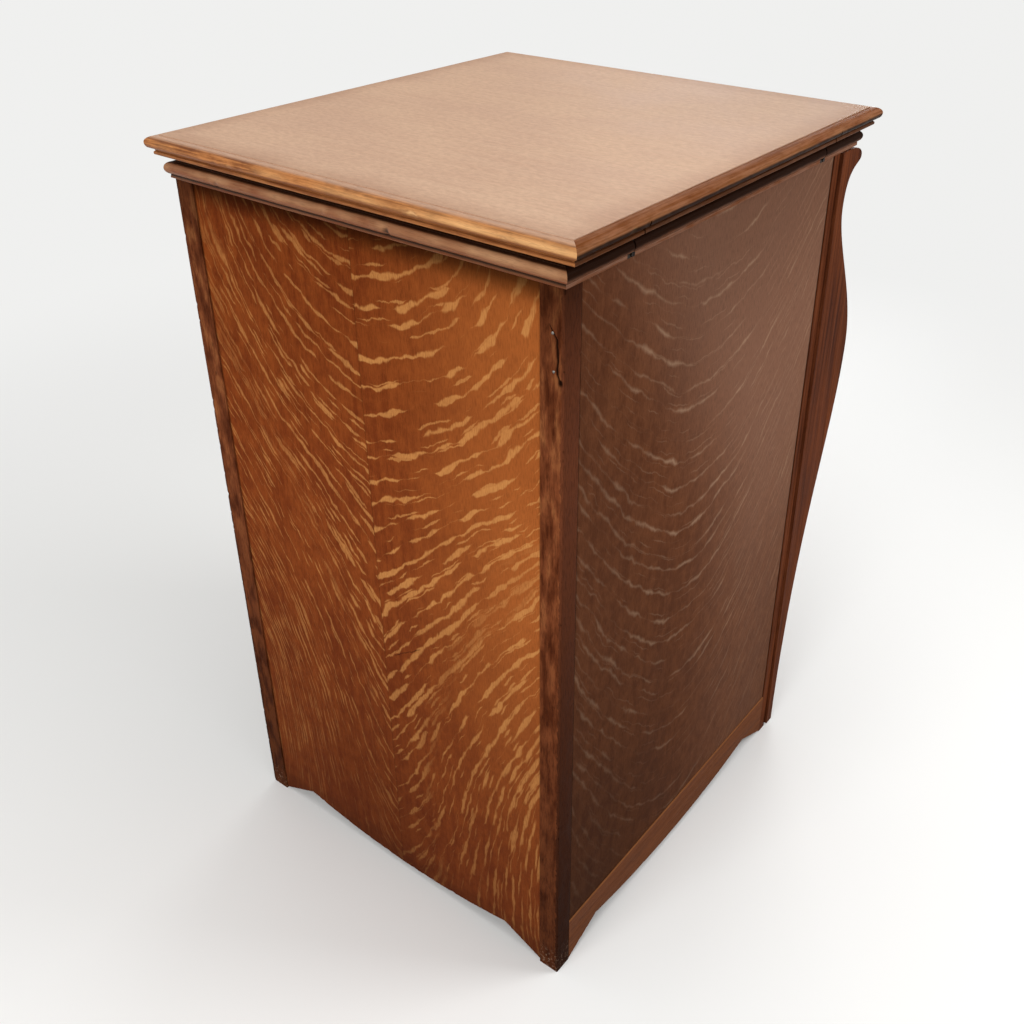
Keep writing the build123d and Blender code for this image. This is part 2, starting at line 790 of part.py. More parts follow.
for index in range(wheel_spokes):
    spoke = block(
        -wheel_web_width / 2,
        wheel_web_width / 2,
        -wheel_spoke_width / 2,
        wheel_spoke_width / 2,
        wheel_spoke_root,
        rim_inner + wheel_groove_depth,
    )
    band_wheel += Pos(rim_mid, wheel_y, crank_z) * Rot(360 / wheel_spokes * index, 0, 0) * spoke
band_wheel += round_x(crank_boss_radius, crank_face, rim_mid, pitman_y, crank_z)
band_wheel -= round_x(stud_radius + running_clearance, hub_x0, hub_x1, wheel_y, crank_z)

bracket_boss_face = hub_x1 + wheel_bracket_gap
bracket_plate_face = panel_inner_x - wheel_bracket_thickness
wheel_stud = round_x(stud_radius, hub_x0 - stud_collar_width, bracket_plate_face, wheel_y, crank_z)
wheel_bracket = block(
    bracket_plate_face,
    panel_inner_x,
    wheel_y - wheel_bracket_width / 2,
    wheel_y + wheel_bracket_width / 2,
    crank_z - wheel_bracket_height / 2,
    crank_z + wheel_bracket_height / 2,
)
wheel_bracket += round_x(wheel_bracket_boss_radius, bracket_boss_face, bracket_plate_face, wheel_y, crank_z)
wheel_bracket -= wheel_stud
stud_collar = round_x(
    stud_collar_radius, hub_x0 - stud_collar_width, hub_x0 - hinge_end_gap, wheel_y, crank_z
)
stud_collar -= wheel_stud
bed_board -= block(
    rim_mid - belt_slot_x / 2,
    rim_mid + belt_slot_x / 2,
    wheel_y - belt_slot_y / 2,
    wheel_y + belt_slot_y / 2,
    bed_bottom,
    bed_top,
)

# Head hinges: two plates let into the bed, each with a leaf that carries a pin for the head
head_axis_y = head_opening_back - head_axis_out
head_axis_z = bed_top - head_axis_drop
head_mid_x = (head_opening_left + head_opening_right) / 2
head_plates, head_pivots, head_leaves = [], [], []
for side in (-1, 1):
    x = head_mid_x + side * head_hinge_spacing / 2
    lug_x = head_leaf_width / 2 + head_leaf_gap
    plate = block(
        x - head_plate_width / 2,
        x + head_plate_width / 2,
        head_opening_back,
        head_opening_back + head_plate_length,
        bed_top - head_plate_thickness,
        bed_top,
    )
    bed_board -= plate
    for end in (-1, 1):
        near, far = sorted((x + end * lug_x, x + end * (lug_x + head_lug_width)))
        lug = block(near, far, head_axis_y, head_opening_back, head_axis_z - head_knuckle_radius, bed_top)
        plate += lug + round_x(head_knuckle_radius, near, far, head_axis_y, head_axis_z)
    pivot_reach = lug_x + head_lug_width
    pivot = round_x(head_pivot_radius, x - pivot_reach, x + pivot_reach, head_axis_y, head_axis_z)
    leaf_half = head_leaf_width / 2
    leaf = round_x(head_knuckle_radius, x - leaf_half, x + leaf_half, head_axis_y, head_axis_z)
    shoulder_z = head_axis_z - head_knuckle_radius
    shoulder_y = head_shoulder_depth / 2
    leaf += block(
        x - leaf_half, x + leaf_half, head_axis_y - shoulder_y, head_axis_y + shoulder_y, shoulder_z, head_axis_z
    )
    leaf += round_z(head_pin_radius, x, head_axis_y, shoulder_z - head_pin_length, head_axis_z)
    leaf -= round_x(
        head_pivot_radius + running_clearance, x - leaf_half, x + leaf_half, head_axis_y, head_axis_z
    )
    head_plates.append(plate - pivot)
    head_pivots.append(pivot)
    head_leaves.append(leaf)

os.makedirs("parts", exist_ok=True)
save("post_rear_left", post_rear_left)
save("post_rear_right", post_rear_right)
save("post_front_left", post_front_left)
save("post_front_right", post_front_right)
save("side_panel_left", side_panel_left)
save("side_panel_right", side_panel_right)
save("side_rail_left", side_rail_left)
save("side_rail_right", side_rail_right)
save("back_panel", back_panel)
save("front_rail", front_rail)
save("bed_board", bed_board)
for side, solid in bed_moulding.items():
    save(f"bed_moulding_{side}", solid)
save("lid_panel", lid_panel)
for side, solid in lid_edges.items():
    save(f"lid_edge_{side}", solid)
save("lid_hinge_bed_plates", *bed_plates)
save("lid_hinge_lid_plates", *lid_plates)
save("lid_hinge_links", *links)
save("lid_hinge_bed_pins", *bed_pins)
save("lid_hinge_lid_pins", *lid_pins)
save("door_stile_left", door_stile_left)
save("door_stile_right", door_stile_right)
save("door_top_rail", door_top_rail)
save("door_bottom_rail", door_bottom_rail)
save("door_panel", door_panel)
save("door_hinge_post_leaves", *post_leaves)
save("door_hinge_door_leaves", *door_leaves)
save("door_hinge_pins", *hinge_pins)
save("knob_rosette", knob_rosette)
save("door_knob", door_knob)
save("latch_spindle", latch_spindle)
save("latch_arm", latch_arm)
save("latch_strike", latch_strike)
save("treadle_rod", treadle_rod)
save("treadle_bracket_left", treadle_bracket_left)
save("treadle_bracket_right", treadle_bracket_right)
save("treadle_plate", treadle_plate)
save("pitman_rod", pitman_rod)
save("pitman_lower_end", lower_end)
save("pitman_upper_end", upper_end)
save("pitman_lower_pin", lower_pin)
save("crank_pin", crank_pin)
save("band_wheel", band_wheel)
save("wheel_stud", wheel_stud)
save("wheel_bracket", wheel_bracket)
save("stud_collar", stud_collar)
save("head_hinge_plates", *head_plates)
save("head_hinge_pivots", *head_pivots)
save("head_hinge_leaves", *head_leaves)
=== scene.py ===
import json
import math

import bmesh
import bpy
import numpy as np
from mathutils import Matrix, Vector


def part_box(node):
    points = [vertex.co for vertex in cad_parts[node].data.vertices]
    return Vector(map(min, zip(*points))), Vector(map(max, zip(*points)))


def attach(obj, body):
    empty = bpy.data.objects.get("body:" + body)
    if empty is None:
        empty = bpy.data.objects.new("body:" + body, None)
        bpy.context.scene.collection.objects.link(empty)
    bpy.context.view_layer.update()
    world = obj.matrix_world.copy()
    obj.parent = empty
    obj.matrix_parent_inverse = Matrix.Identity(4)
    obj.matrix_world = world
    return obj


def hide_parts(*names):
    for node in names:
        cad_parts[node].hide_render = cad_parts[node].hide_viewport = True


bl_info = {
    "name": "Oak Treadle Sewing Table",
    "version": (1, 0, 0),
    "blender": (4, 5, 0),
    "location": "View3D > Sidebar > Sewing Table",
    "description": "Finishes, worn edges and small hardware for a closed oak sewing table",
    "category": "Object",
}

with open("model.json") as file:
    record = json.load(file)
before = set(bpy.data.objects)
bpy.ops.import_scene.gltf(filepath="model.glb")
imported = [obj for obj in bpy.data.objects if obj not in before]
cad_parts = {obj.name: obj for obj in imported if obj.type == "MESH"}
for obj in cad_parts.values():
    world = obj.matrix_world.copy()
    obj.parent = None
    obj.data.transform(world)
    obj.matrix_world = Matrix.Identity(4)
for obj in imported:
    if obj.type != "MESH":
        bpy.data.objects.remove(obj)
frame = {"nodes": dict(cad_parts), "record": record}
NODES = frame["nodes"]
SLOTS = {part["node"]: part["material_slot"] for part in frame["record"]["subparts"]}
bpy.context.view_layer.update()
MM = 0.001

# Colours of the stage, and the tint of the varnish's reflections.
VARNISH = (1.0, 0.64, 0.44)
WHITE = (0.87, 0.87, 0.86)
DAYLIGHT = (1.0, 0.99, 0.97)
FLOOR = (0.83, 0.83, 0.82)

# The link hinges of the lid. Lengths here and below are in millimetres.
LINK_NODES = [f"lid_hinge_{part}" for part in ("bed_plates", "lid_plates", "links", "bed_pins", "lid_pins")]
LINK_INSET = 90.0
SLOT_WIDTH = 1.9
SLOT_ROOM = 0.5

# Sides whose mouldings run across the table, and the length over which a moulding turns to its mitre.
ACROSS = ("back", "front")
MITRE_REACH = 60.0

# Scalloped lower edges: each ramp's foot, length and top, and the lowest point between the ramps.
RAMP_FOOT = 0.4
RAMP_LENGTH = 47.0
RAMP_TOP = 22.0
HANG_LOW = 8.0

# Grooves in the rear posts, measured from the inner front corner.
GROOVE_DEPTH = 5.0
SIDE_GROOVE = (14.0, 18.0)
BACK_GROOVE = (11.5, 15.5)
CORNER_POINTS = 6

# Lamps as name, place, target, size and power, and the camera, in metres and degrees.
LAMPS = (
    ("key_lamp", (-0.2, 2.7, 1.45), (0.0, 0.1, 0.35), 1.8, 60.0),
    ("top_lamp", (-0.4, 0.4, 3.2), (0.0, 0.0, 0.7), 2.4, 30.0),
    ("fill_lamp", (-1.5, -1.0, 1.5), (-0.2, -0.1, 0.5), 1.0, 22.0),
    ("front_lamp", (1.1, -2.8, 0.85), (0.05, -0.1, 0.4), 1.4, 26.0),
)
CAMERA_PLACE = (-0.6339, 0.8279, 1.0173)
CAMERA_AZIMUTH = 217.233
CAMERA_ELEVATION = 30.192
CAMERA_ROLL = 0.175
CAMERA_LENS = 39.25
CAMERA_SHIFT = (-0.0328, -0.0540)


def box_mm(node):
    """Lowest and highest corners of a CAD node, in millimetres."""
    low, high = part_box(node)
    return np.array(low) / MM, np.array(high) / MM


def srgb(code):
    """Linear colour of a six-digit hexadecimal sRGB code."""
    parts = [int(code[i:i + 2], 16) / 255 for i in (0, 2, 4)]
    return tuple(c / 12.92 if c <= 0.04045 else ((c + 0.055) / 1.055) ** 2.4 for c in parts)


def colour_property(name, description, code):
    """A colour that a user would change, given by its sRGB code."""
    return bpy.props.FloatVectorProperty(
        name=name, description=description, default=srgb(code), subtype="COLOR", min=0, max=1
    )


def length_property(name, description, millimetres):
    """A length that a user would change, given in millimetres."""
    return bpy.props.FloatProperty(
        name=name, description=description, default=millimetres * MM, unit="LENGTH"
    )


class OakColours(bpy.types.PropertyGroup):
    """Colours of the varnished oak."""

    veneer_dark: colour_property("Veneer, dark", "Dark streaks of the panels", "6C2F13")
    veneer_light: colour_property("Veneer, light", "Light streaks of the panels", "88431C")
    # Painted light: the golden tone laid where the back panel is lit.
    veneer_lit_gold: colour_property("Veneer, golden", "Where the varnish glows golden", "A45B2A")
    fleck: colour_property("Ray fleck", "Bright flecks of quarter-sawn oak", "C6884C")
    side_dark: colour_property("Side, dark", "Dark streaks of the side panels", "5B3420")
    side_light: colour_property("Side, light", "Light streaks of the side panels", "6D4129")
    side_fleck: colour_property("Side fleck", "Dull flecks of the side panels", "A9886E")
    # Painted sheen: the grey reflection laid on the side panels and the left bed moulding.
    side_sheen: colour_property("Side bloom", "Dry, greyer varnish toward the front", "7E5A48")
    frame_dark: colour_property("Frame, dark", "Dark streaks of posts and rails", "3A1A0E")
    frame_light: colour_property("Frame, light", "Light streaks of posts and rails", "6A3820")
    bare: colour_property("Bare oak", "Wood laid bare by knocks and rubbing", "946038")
    # Grime: old dirt in cracks and chips. In the mouldings' hollows it is also painted shade.
    grime_and_shadow: colour_property("Grime", "Old dirt in hollows and cracks", "180A05")
    lid_pale: colour_property("Lid top", "Dry, bleached top of the lid", "C9A68B")
    lid_brown: colour_property("Lid grain", "Darker grain of the lid", "BF9A80")
    edge_gold: colour_property("Lid edge", "Rubbed round of the lid's edge", "AA6E3E")
    edge_brown: colour_property("Lid edge, brown", "Old varnish on the lid's edge", "6C3C1D")
    # Painted highlight and rubbing: the bright colour laid on the lid edge's round.
    edge_rub_highlight: colour_property("Lid edge, bright", "Where hands rubbed the lid's edge", "CF9E69")
    # Painted shade: the duller copy of the lid edge's colour for the shaded left side. It also browns the rim
    # of the lid's top.
    shaded_edge_and_rim: colour_property("Lid edge, dull", "Duller edge over the left side", "85563B")
    moulding: colour_property("Bed moulding", "Bull-nosed moulding under the lid", "784D33")
    # Painted highlight and rubbing on the bed moulding's crown.
    moulding_rub_highlight: colour_property("Bed moulding, bright", "Rubbed crown of the bed moulding", "A27957")
    post_red: colour_property("Post", "Red-brown of the rear posts", "6C3A21")
    post_dark: colour_property("Post, dark", "Dark patches of the rear posts", "46200F")
    stain: colour_property("Post stain", "Dull stain on the outer side of the posts", "5D321F")


class OakGrain(bpy.types.PropertyGroup):
    """Sizes of the grain."""

    row_spacing: length_property("Row spacing", "Height between rows of bold flecks at the seam", 31)
    fleck_height: length_property("Fleck height", "Half the thickness of the boldest flecks", 3.0)
    notch_reach: length_property("Notch reach", "How far the bend at the seam reaches", 45)


class WearSizes(bpy.types.PropertyGroup):
    """Sizes of wear on the edges."""

    arris: length_property("Arris", "Rounding of the posts' edges", 0.9)
    nick: length_property("Nick", "Depth of the deepest common nicks", 1.3)
    lower_edge: length_property("Lower edge", "Rounding of the scalloped edges", 1.4)


class Value:
    """A node's output that takes part in arithmetic with numbers and other values."""

    def __init__(self, tree, socket):
        self.tree = tree
        self.socket = socket

    def step(self, operation, other=0.0):
        """One step of arithmetic, by the name of its operation."""
        return self.tree.math(operation, self, other)

    def __add__(self, other):
        return self.step("ADD", other)

    __radd__ = __add__

    def __sub__(self, other):
        return self.step("SUBTRACT", other)

    def __rsub__(self, other):
        return self.tree.math("SUBTRACT", other, self)

    def __mul__(self, other):
        return self.step("MULTIPLY", other)

    def __truediv__(self, other):
        return self.step("DIVIDE", other)

    def __abs__(self):
        return self.step("ABSOLUTE")

    def rise(self, low, high, start=0.0, end=1.0):
        """Smooth step from start to end as the value goes from low to high."""
        return self.tree.value("MapRange", self, low, high, start, end, interpolation_type="SMOOTHSTEP")

    def curve(self, points):
        """A smooth curve through points of (value, height)."""
        xs, ys = zip(*points)
        low, span = min(ys), (max(ys) - min(ys)) or 1.0
        node = self.tree.node("FloatCurve")
        line = node.mapping.curves[0]
        while len(line.points) < len(points):
            line.points.new(0.5, 0.5)
        for point, (x, y) in zip(line.points, points):
            point.location = ((x - xs[0]) / (xs[-1] - xs[0]), (y - low) / span)
        node.mapping.update()
        share = self.tree.math("DIVIDE", self - xs[0], xs[-1] - xs[0], clamp=True)
        self.tree.put(node.inputs["Value"], share)
        return Value(self.tree, node.outputs[0]) * span + low


class Tree:
    """The nodes of a material or a world, with short calls for building them."""

    def __init__(self, owner, output):
        owner.use_nodes = True
        self.nodes = owner.node_tree.nodes
        self.links = owner.node_tree.links
        self.nodes.clear()
        self.output = self.node(output)

    def put(self, socket, item):
        """Links a value or an output, or sets a plain number or colour."""
        if isinstance(item, Value):
            item = item.socket
        if isinstance(item, bpy.types.NodeSocket):
            self.links.new(item, socket)
        elif socket.type == "RGBA" and len(item) == 3:
            socket.default_value = (*item, 1)
        else:
            socket.default_value = item

    def node(self, kind, *inputs, **settings):
        """A new node with its settings, and its first inputs linked or set."""
        node = self.nodes.new(f"ShaderNode{kind}")
        for key, item in settings.items():
            setattr(node, key, item)
        for socket, item in zip(node.inputs, inputs):
            self.put(socket, item)
        return node

    def value(self, kind, *inputs, **settings):
        """The first output of a new node."""
        return Value(self, self.node(kind, *inputs, **settings).outputs[0])

    def math(self, operation, a, b, clamp=False):
        return self.value("Math", a, b, operation=operation, use_clamp=clamp)

    def looked_at(self):
        """1 for the rays that show a thing itself: from the camera, a mirror or glass."""
        path = self.node("LightPath").outputs
        rays = [Value(self, path[f"Is {kind} Ray"]) for kind in ("Camera", "Glossy", "Transmission")]
        return rays[0].step("MAXIMUM", rays[1]).step("MAXIMUM", rays[2])

    def show(self, share, first, second):
        """Sends out two shaders mixed by a share from 0 to 1."""
        blend = self.node("MixShader", share, first.outputs[0], second.outputs[0])
        self.put(self.output.inputs[0], blend.outputs[0])


class Coat(Tree):
    """A material whose colour is built up in layers."""

    def __init__(self, name):
        self.material = bpy.data.materials.new(name)
        super().__init__(self.material, "OutputMaterial")
        self.shader = self.node("BsdfPrincipled")
        self.put(self.output.inputs[0], self.shader.outputs[0])
        self.colour = None

    def place(self):
        """The point's X, Y and Z on the table, in millimetres."""
        mapping = self.node("Mapping", self.node("TexCoord").outputs["Object"])
        mapping.inputs["Scale"].default_value = (1 / MM, 1 / MM, 1 / MM)
        split = self.node("SeparateXYZ", mapping.outputs[0])
        return [Value(self, output) for output in split.outputs]

    def grain(self, axis):
        """The point's place, its part along an axis and the two parts across it."""
        place = self.place()
        number = "XYZ".index(axis)
        return place, place[number], place[:number] + place[number + 1:]

    def worn(self, name):
        """A piece's own attribute from 0 to 1. A piece without it gives 0."""
        return Value(self, self.node("Attribute", attribute_name=name).outputs["Fac"])

    def noise(self, x, y=0.0, z=0.0, detail=2.0, roughness=0.5, size=(1, 1, 1)):
        """Noise from 0 to 1, with features of the given sizes along its three inputs."""
        parts = [part / length if length != 1 else part for part, length in zip((x, y, z), size)]
        vector = self.value("CombineXYZ", *parts)
        unused_w, scale = 0.0, 1.0
        return self.value("TexNoise", vector, unused_w, scale, detail, roughness)

    def chance(self, value):
        """A random number from 0 to 1 for each value."""
        node = self.node("TexWhiteNoise", noise_dimensions="1D")
        self.put(node.inputs["W"], value)
        return Value(self, node.outputs[0])

    def mix(self, share, a, b, blend="MIX"):
        """Two colours mixed by a share from 0 to 1."""
        node = self.node("Mix", share, data_type="RGBA", blend_type=blend)
        for socket, colour in zip([s for s in node.inputs if s.type == "RGBA"], (a, b)):
            self.put(socket, colour)
        return next(s for s in node.outputs if s.type == "RGBA")

    def shaded(self, colour, share):
        """A colour darkened by a share, 1 leaving it as it is."""
        grey = self.node("CombineColor", share, share, share).outputs[0]
        return self.mix(1.0, colour, grey, "MULTIPLY")

    def shade(self, share):
        """Darkens the layers so far."""
        self.colour = self.shaded(self.colour, share)

    def lay(self, share, colour):
        """Lays a colour over the layers so far."""
        self.colour = self.mix(share, self.colour, colour)

    def bump(self, height, distance, strength):
        """Relief from a height of 0 to 1, the distance in metres."""
        node = self.node("Bump")
        for key, item in (("Strength", strength), ("Distance", distance), ("Height", height)):
            self.put(node.inputs[key], item)
        self.put(self.shader.inputs["Normal"], node.outputs[0])

    def finish(self, roughness, metallic=0.0, specular=0.5, tint=(1.0, 1.0, 1.0)):
        """Gives the shader its layers and its gloss."""
        looks = {"Base Color": self.colour, "Roughness": roughness, "Metallic": metallic}
        looks.update({"Specular IOR Level": specular, "Specular Tint": tint})
        for key, item in looks.items():
            self.put(self.shader.inputs[key], item)
        return self.material


def fleck_rows(coat, along, level, steep, spacing, half, soft, seed, low, high):
    """Rows of dashes. A row lies at each multiple of the spacing in level, moved by chance. A dash is as
    thick as the noise along its row is high, so it tapers. The difference in level over the steepness is the
    distance from the row."""
    scaled = level / spacing
    row = scaled.step("FLOOR")
    shift = (coat.chance(row + seed) - 0.5) * 0.55
    offset = scaled.step("FRACT") - 0.5 - shift
    distance = abs(offset) * spacing / steep
    lengthwise = coat.noise(along, row * 7.31 + seed, detail=1)
    thick = lengthwise.rise(low, high) * half
    return (thick - distance).rise(-soft * 0.2, soft)


def veneer_flow(across, up, notch, hang, reach, pull=1.0):
    """Level, steepness and length along the rows of a veneer's flecks. The level is the height, less a bend
    at the seam that fades over its reach, less a sag by the square of the distance from the seam. Notch and
    hang give bend and sag by height, and the pull deepens the sag."""
    away = abs(across)
    fade = (away / -reach).step("EXPONENT")
    bend = up.curve(notch)
    sag = up.curve(hang) * pull
    drop = bend * reach * (1 - fade) + sag * (away * away)
    slope = bend * fade + sag * 2 * away
    steep = (slope * slope + 1).step("SQRT")
    along = across.step("SIGN") * (away + drop)
    return up - drop, steep, along


def veneer_tone(coat, across, up, seed, dark, light, streaks=0.3):
    """Lays the ground of a veneer: soft clouds, a share of faint upright streaks, and pores as short dashes.
    Returns the pores and the largest clouds."""
    streak = coat.noise(across, up, seed + 1, size=(5, 170, 1), detail=3, roughness=0.6)
    patch = coat.noise(across, up, seed + 7, size=(70, 110, 1))
    cloud = coat.noise(across, up, seed + 9, size=(13, 20, 1), detail=5, roughness=0.65)
    hair = coat.noise(across, up, seed + 2, size=(0.75, 8, 1), roughness=0.6)
    share = streak * streaks + patch * 0.25 + cloud * (0.75 - streaks)
    pore = hair.rise(0.36, 0.56, 0.8, 1)
    coat.colour = coat.mix(share.rise(0.38, 0.62), dark, light)
    coat.shade(pore)
    return pore, patch


def ragged(coat, level, steep, across, up, seed, wide, narrow, fray):
    """A level made uneven by slow waves, quick waves and the upright pores, each of a height in millimetres.
    Where the rows are steep the waves are as much higher."""
    waves = (
        (coat.noise(across, up, seed, size=(70, 90, 1), detail=1), wide),
        (coat.noise(across, up, seed + 3, size=(15, 22, 1)), narrow),
        (coat.noise(across, up, seed + 5, size=(1.3, 12, 1), detail=1), fray),
    )
    total = sum((wave - 0.5) * (2 * amount) for wave, amount in waves)
    return total * steep.step("MINIMUM", 3) + level


def back_oak(colours, grain):
    """Back panel: two leaves of quarter-sawn veneer matched at a seam up the middle, with thin flecks on one
    leaf and bold ones on the other."""
    coat = Coat("oak_veneer_back")
    x, _, z = coat.place()
    across = x * -1
    right_leaf = across.step("GREATER_THAN", 0)
    notch = [(0, 0.95), (250, 1.15), (450, 0.85), (560, 0.25), (740, 0.05)]
    hang = [(0, 0.014), (150, 0.018), (280, 0.014), (450, 0.0065), (640, 0.0036), (740, 0.0043)]
    pull = right_leaf * -0.6 + 1.6
    level, steep, along = veneer_flow(across, z, notch, hang, grain.notch_reach / MM, pull)
    level = ragged(coat, right_leaf * 11 + level, steep, across, z, 1, 7, 4.8, 0.8)
    spacing = grain.row_spacing / MM
    bold = grain.fleck_height / MM
    gentle = steep.rise(1.9, 2.8, 1, 0)

    def rows(run, level, half, soft, low, high, gentle_rows, steep_rows):
        """Rows at one share of the spacing where the level is gentle, and at another where it is steep."""
        first, second = (
            fleck_rows(coat, run, level, steep, spacing * share, half, soft, seed, low, high)
            for share, seed in (gentle_rows, steep_rows)
        )
        return (gentle * first).step("MAXIMUM", (1 - gentle) * second)

    half = across.curve([
        (-196, 0.85), (-100, 0.76), (-8, 0.85), (8, 1.0), (80, 0.98), (140, 1.1), (196, 1.3),
    ])
    swell = coat.noise(across, z, 8, size=(22, 28, 1))
    half = half * swell.rise(0.35, 0.65, 0.5 * bold, 1.35 * bold)
    half = half * steep.rise(1.3, 3.2, 1, right_leaf * 0.2 + 0.66) * z.rise(90, 300, 0.85, 1)
    run = along / steep.rise(1.3, 3, 58, 62) * steep.rise(1.3, 3, right_leaf * -0.4 + 1.4, 1)
    bold_rows = rows(run, level, half, 1.8, 0.38, 0.56, (0.8, 11), (1.9, 29))
    slim = half * (right_leaf * -0.25 + 0.75)
    low = right_leaf * 0.06 + 0.4
    thin_rows = rows(run * 1.2, level + 9, slim, 1, low, low + 0.17, (0.55, 47), (1.05, 53))
    fleck = bold_rows.step("MAXIMUM", thin_rows * 0.8)

    pore, patch = veneer_tone(coat, across, z, 1, colours.veneer_dark, colours.veneer_light)
    # Painted light: a golden glow toward the right of the back and above its foot, where it is lit.
    painted_glow = across.rise(0, 190) * z.rise(60, 420) * patch.rise(0.2, 0.8, 0.7, 1)
    coat.lay(painted_glow, coat.shaded(colours.veneer_lit_gold, pore))
    bright = across.curve([(-196, 0.66), (-60, 0.72), (-4, 0.76), (4, 0.95), (120, 0.92), (196, 1.0)])
    # The flecks are dimmed low down, and near the top by painted shade under the moulding.
    bright = bright * z.curve([(0, 0.66), (160, 0.84), (330, 1.0), (600, 0.96), (740, 0.55)])
    bright = bright * patch.rise(0.25, 0.7, 0.75, 1) * pore.rise(0.8, 1, 0.6, 1)
    coat.lay(fleck * bright, colours.fleck)
    seam = abs(across).rise(0.2, 0.9, 0.72, 1)
    coat.shade(seam)
    # Painted light and shade by height: brighter low down, darker toward the top under the lid's overhang.
    coat.shade(z.curve([
        (0, 1.18), (150, 1.1), (300, 1.04), (480, 0.98), (620, 0.85), (705, 0.75), (736, 0.6),
    ]))
    # Painted shade: the left leaf darker high up.
    coat.shade(z.rise(480, 600, 1, across.rise(-20, 130, 0.92, 1)))
    # Darker low in the middle, about the seam.
    low_middle_dark = abs(across + 30).rise(20, 110, 1, 0) * z.rise(60, 300, 1, 0)
    coat.shade(1 - low_middle_dark * 0.2)
    # Painted shadow under the bed moulding, on the top of the panel.
    shadow_under_moulding = z.curve([
        (700, 1.0), (714, 0.92), (719.5, 0.7), (723, 0.54), (727, 0.37), (730, 0.26), (736, 0.2),
    ])
    beside_posts = abs(x).rise(188.5, 191, 1, 0.5)
    coat.shade(shadow_under_moulding)
    coat.shade(beside_posts)
    coat.lay(scuffs(coat, x, z), colours.grime_and_shadow)
    coat.lay(coat.worn("rubbed_and_highlight"), colours.frame_dark)
    coat.bump(pore * 0.7 + fleck * 0.15, 0.00025, 0.5)
    return coat.finish(patch.rise(0.2, 0.8, 0.38, 0.5), specular=0.004, tint=VARNISH)


def scuffs(coat, x, z):
    """Dark marks of the back: a short crack across the veneer, and dirt along the lower edge."""
    wave = (coat.noise(x, z, size=(7, 7, 1)) - 0.5) * 4
    crack = abs(x * 0.69 + z - 300.4 + wave).rise(0.2, 0.8, 0.75, 0)
    window = x.rise(-50, -46) * x.rise(-16, -12, 1, 0)
    dirt = coat.noise(x, z, size=(18, 9, 1), detail=4)
    low = (dirt * 60 + z).rise(40, 80, 0.4, 0)
    return (crack * window).step("MAXIMUM", low)


def side_oak(name, colours, grain, axis, centre, seed, pale=1.0):
    """Side or door panel: one wide leaf whose flecks hang in garlands about an upright line. Toward the front
    a painted grey sheen makes it greyer, and painted shade makes it darkest low at the rear."""
    coat = Coat(name)
    x, y, z = coat.place()
    on_side = axis == "Y"
    across = centre - y if on_side else x - centre
    notch = [(0, 0.0), (380, 0.0), (740, 0.0)]
    hang = [(0, 0.0052), (300, 0.0050), (500, 0.0044), (740, 0.0028)]
    level, steep, along = veneer_flow(across, z, notch, hang, grain.notch_reach / MM)
    level = ragged(coat, level, steep, across, z, seed, 7, 4.6, 0.6)
    spacing = grain.row_spacing / MM
    run = along / 92
    swell = coat.noise(across, z, seed + 4, size=(26, 30, 1)).rise(0.35, 0.65, 1.1, 3.2)
    swell = swell * across.rise(10, 130, 1, 0.6)
    long_rows = fleck_rows(coat, run, level, steep, spacing * 0.8, swell, 4.2, seed + 11, 0.38, 0.58)
    low = across.rise(20, 120, 0.45, 0.36)
    thin_rows = fleck_rows(coat, run * 1.7, level, steep, spacing * 0.41, 0.9, 1.6, seed + 29, low, low + 0.2)
    fleck = long_rows.step("MAXIMUM", thin_rows * 0.5)

    pore, patch = veneer_tone(coat, across, z, seed, colours.side_dark, colours.side_light, 0.2)
    # Painted sheen: a grey reflection laid toward the front and up high.
    reach = (z - 430).step("MAXIMUM", 0) * 0.55 + across
    painted_sheen = z.curve([(0, 0.2), (260, 0.4), (450, 0.8), (620, 0.85), (740, 0.8)])
    painted_sheen = painted_sheen * reach.rise(-40, 150, 0, 1.0 if on_side else 0.4)
    coat.lay(painted_sheen, coat.shaded(colours.side_sheen, pore))
    bright = patch.rise(0.25, 0.7, 0.55, 0.78) * z.rise(60, 420, 0.5, 1)
    bright = bright * across.curve([(-210, 0.55), (-120, 0.7), (-60, 0.95), (60, 1.0), (210, 0.85)])
    coat.lay(fleck * bright * pore, colours.side_fleck)
    # Painted shade: darker low down and toward the rear. The joints below are darkened as real dark joints.
    foot = across.rise(-200, 160, 0.46, 0.76)
    fade = z.rise(20, 560, foot, 1) * across.rise(-200, 120, 0.78, 1)
    if on_side:
        rear_joint, front_joint = 232.5, -176.5
        joint = abs(y - rear_joint).step("MINIMUM", abs(y - front_joint))
        fade = fade * joint.rise(0.7, 2.4, 0.2, 1)
    # Painted light and shade at the top: lighter toward the rear, darker toward the front.
    fade = fade * z.rise(560, 735, 1, across.rise(-180, 60, 1.08, 0.78))
    coat.shade(fade * pale)
    coat.bump(pore * 0.7 + fleck * 0.15, 0.0002, 0.4)
    return coat.finish(patch.rise(0.2, 0.8, 0.4, 0.52), specular=0.004, tint=VARNISH)


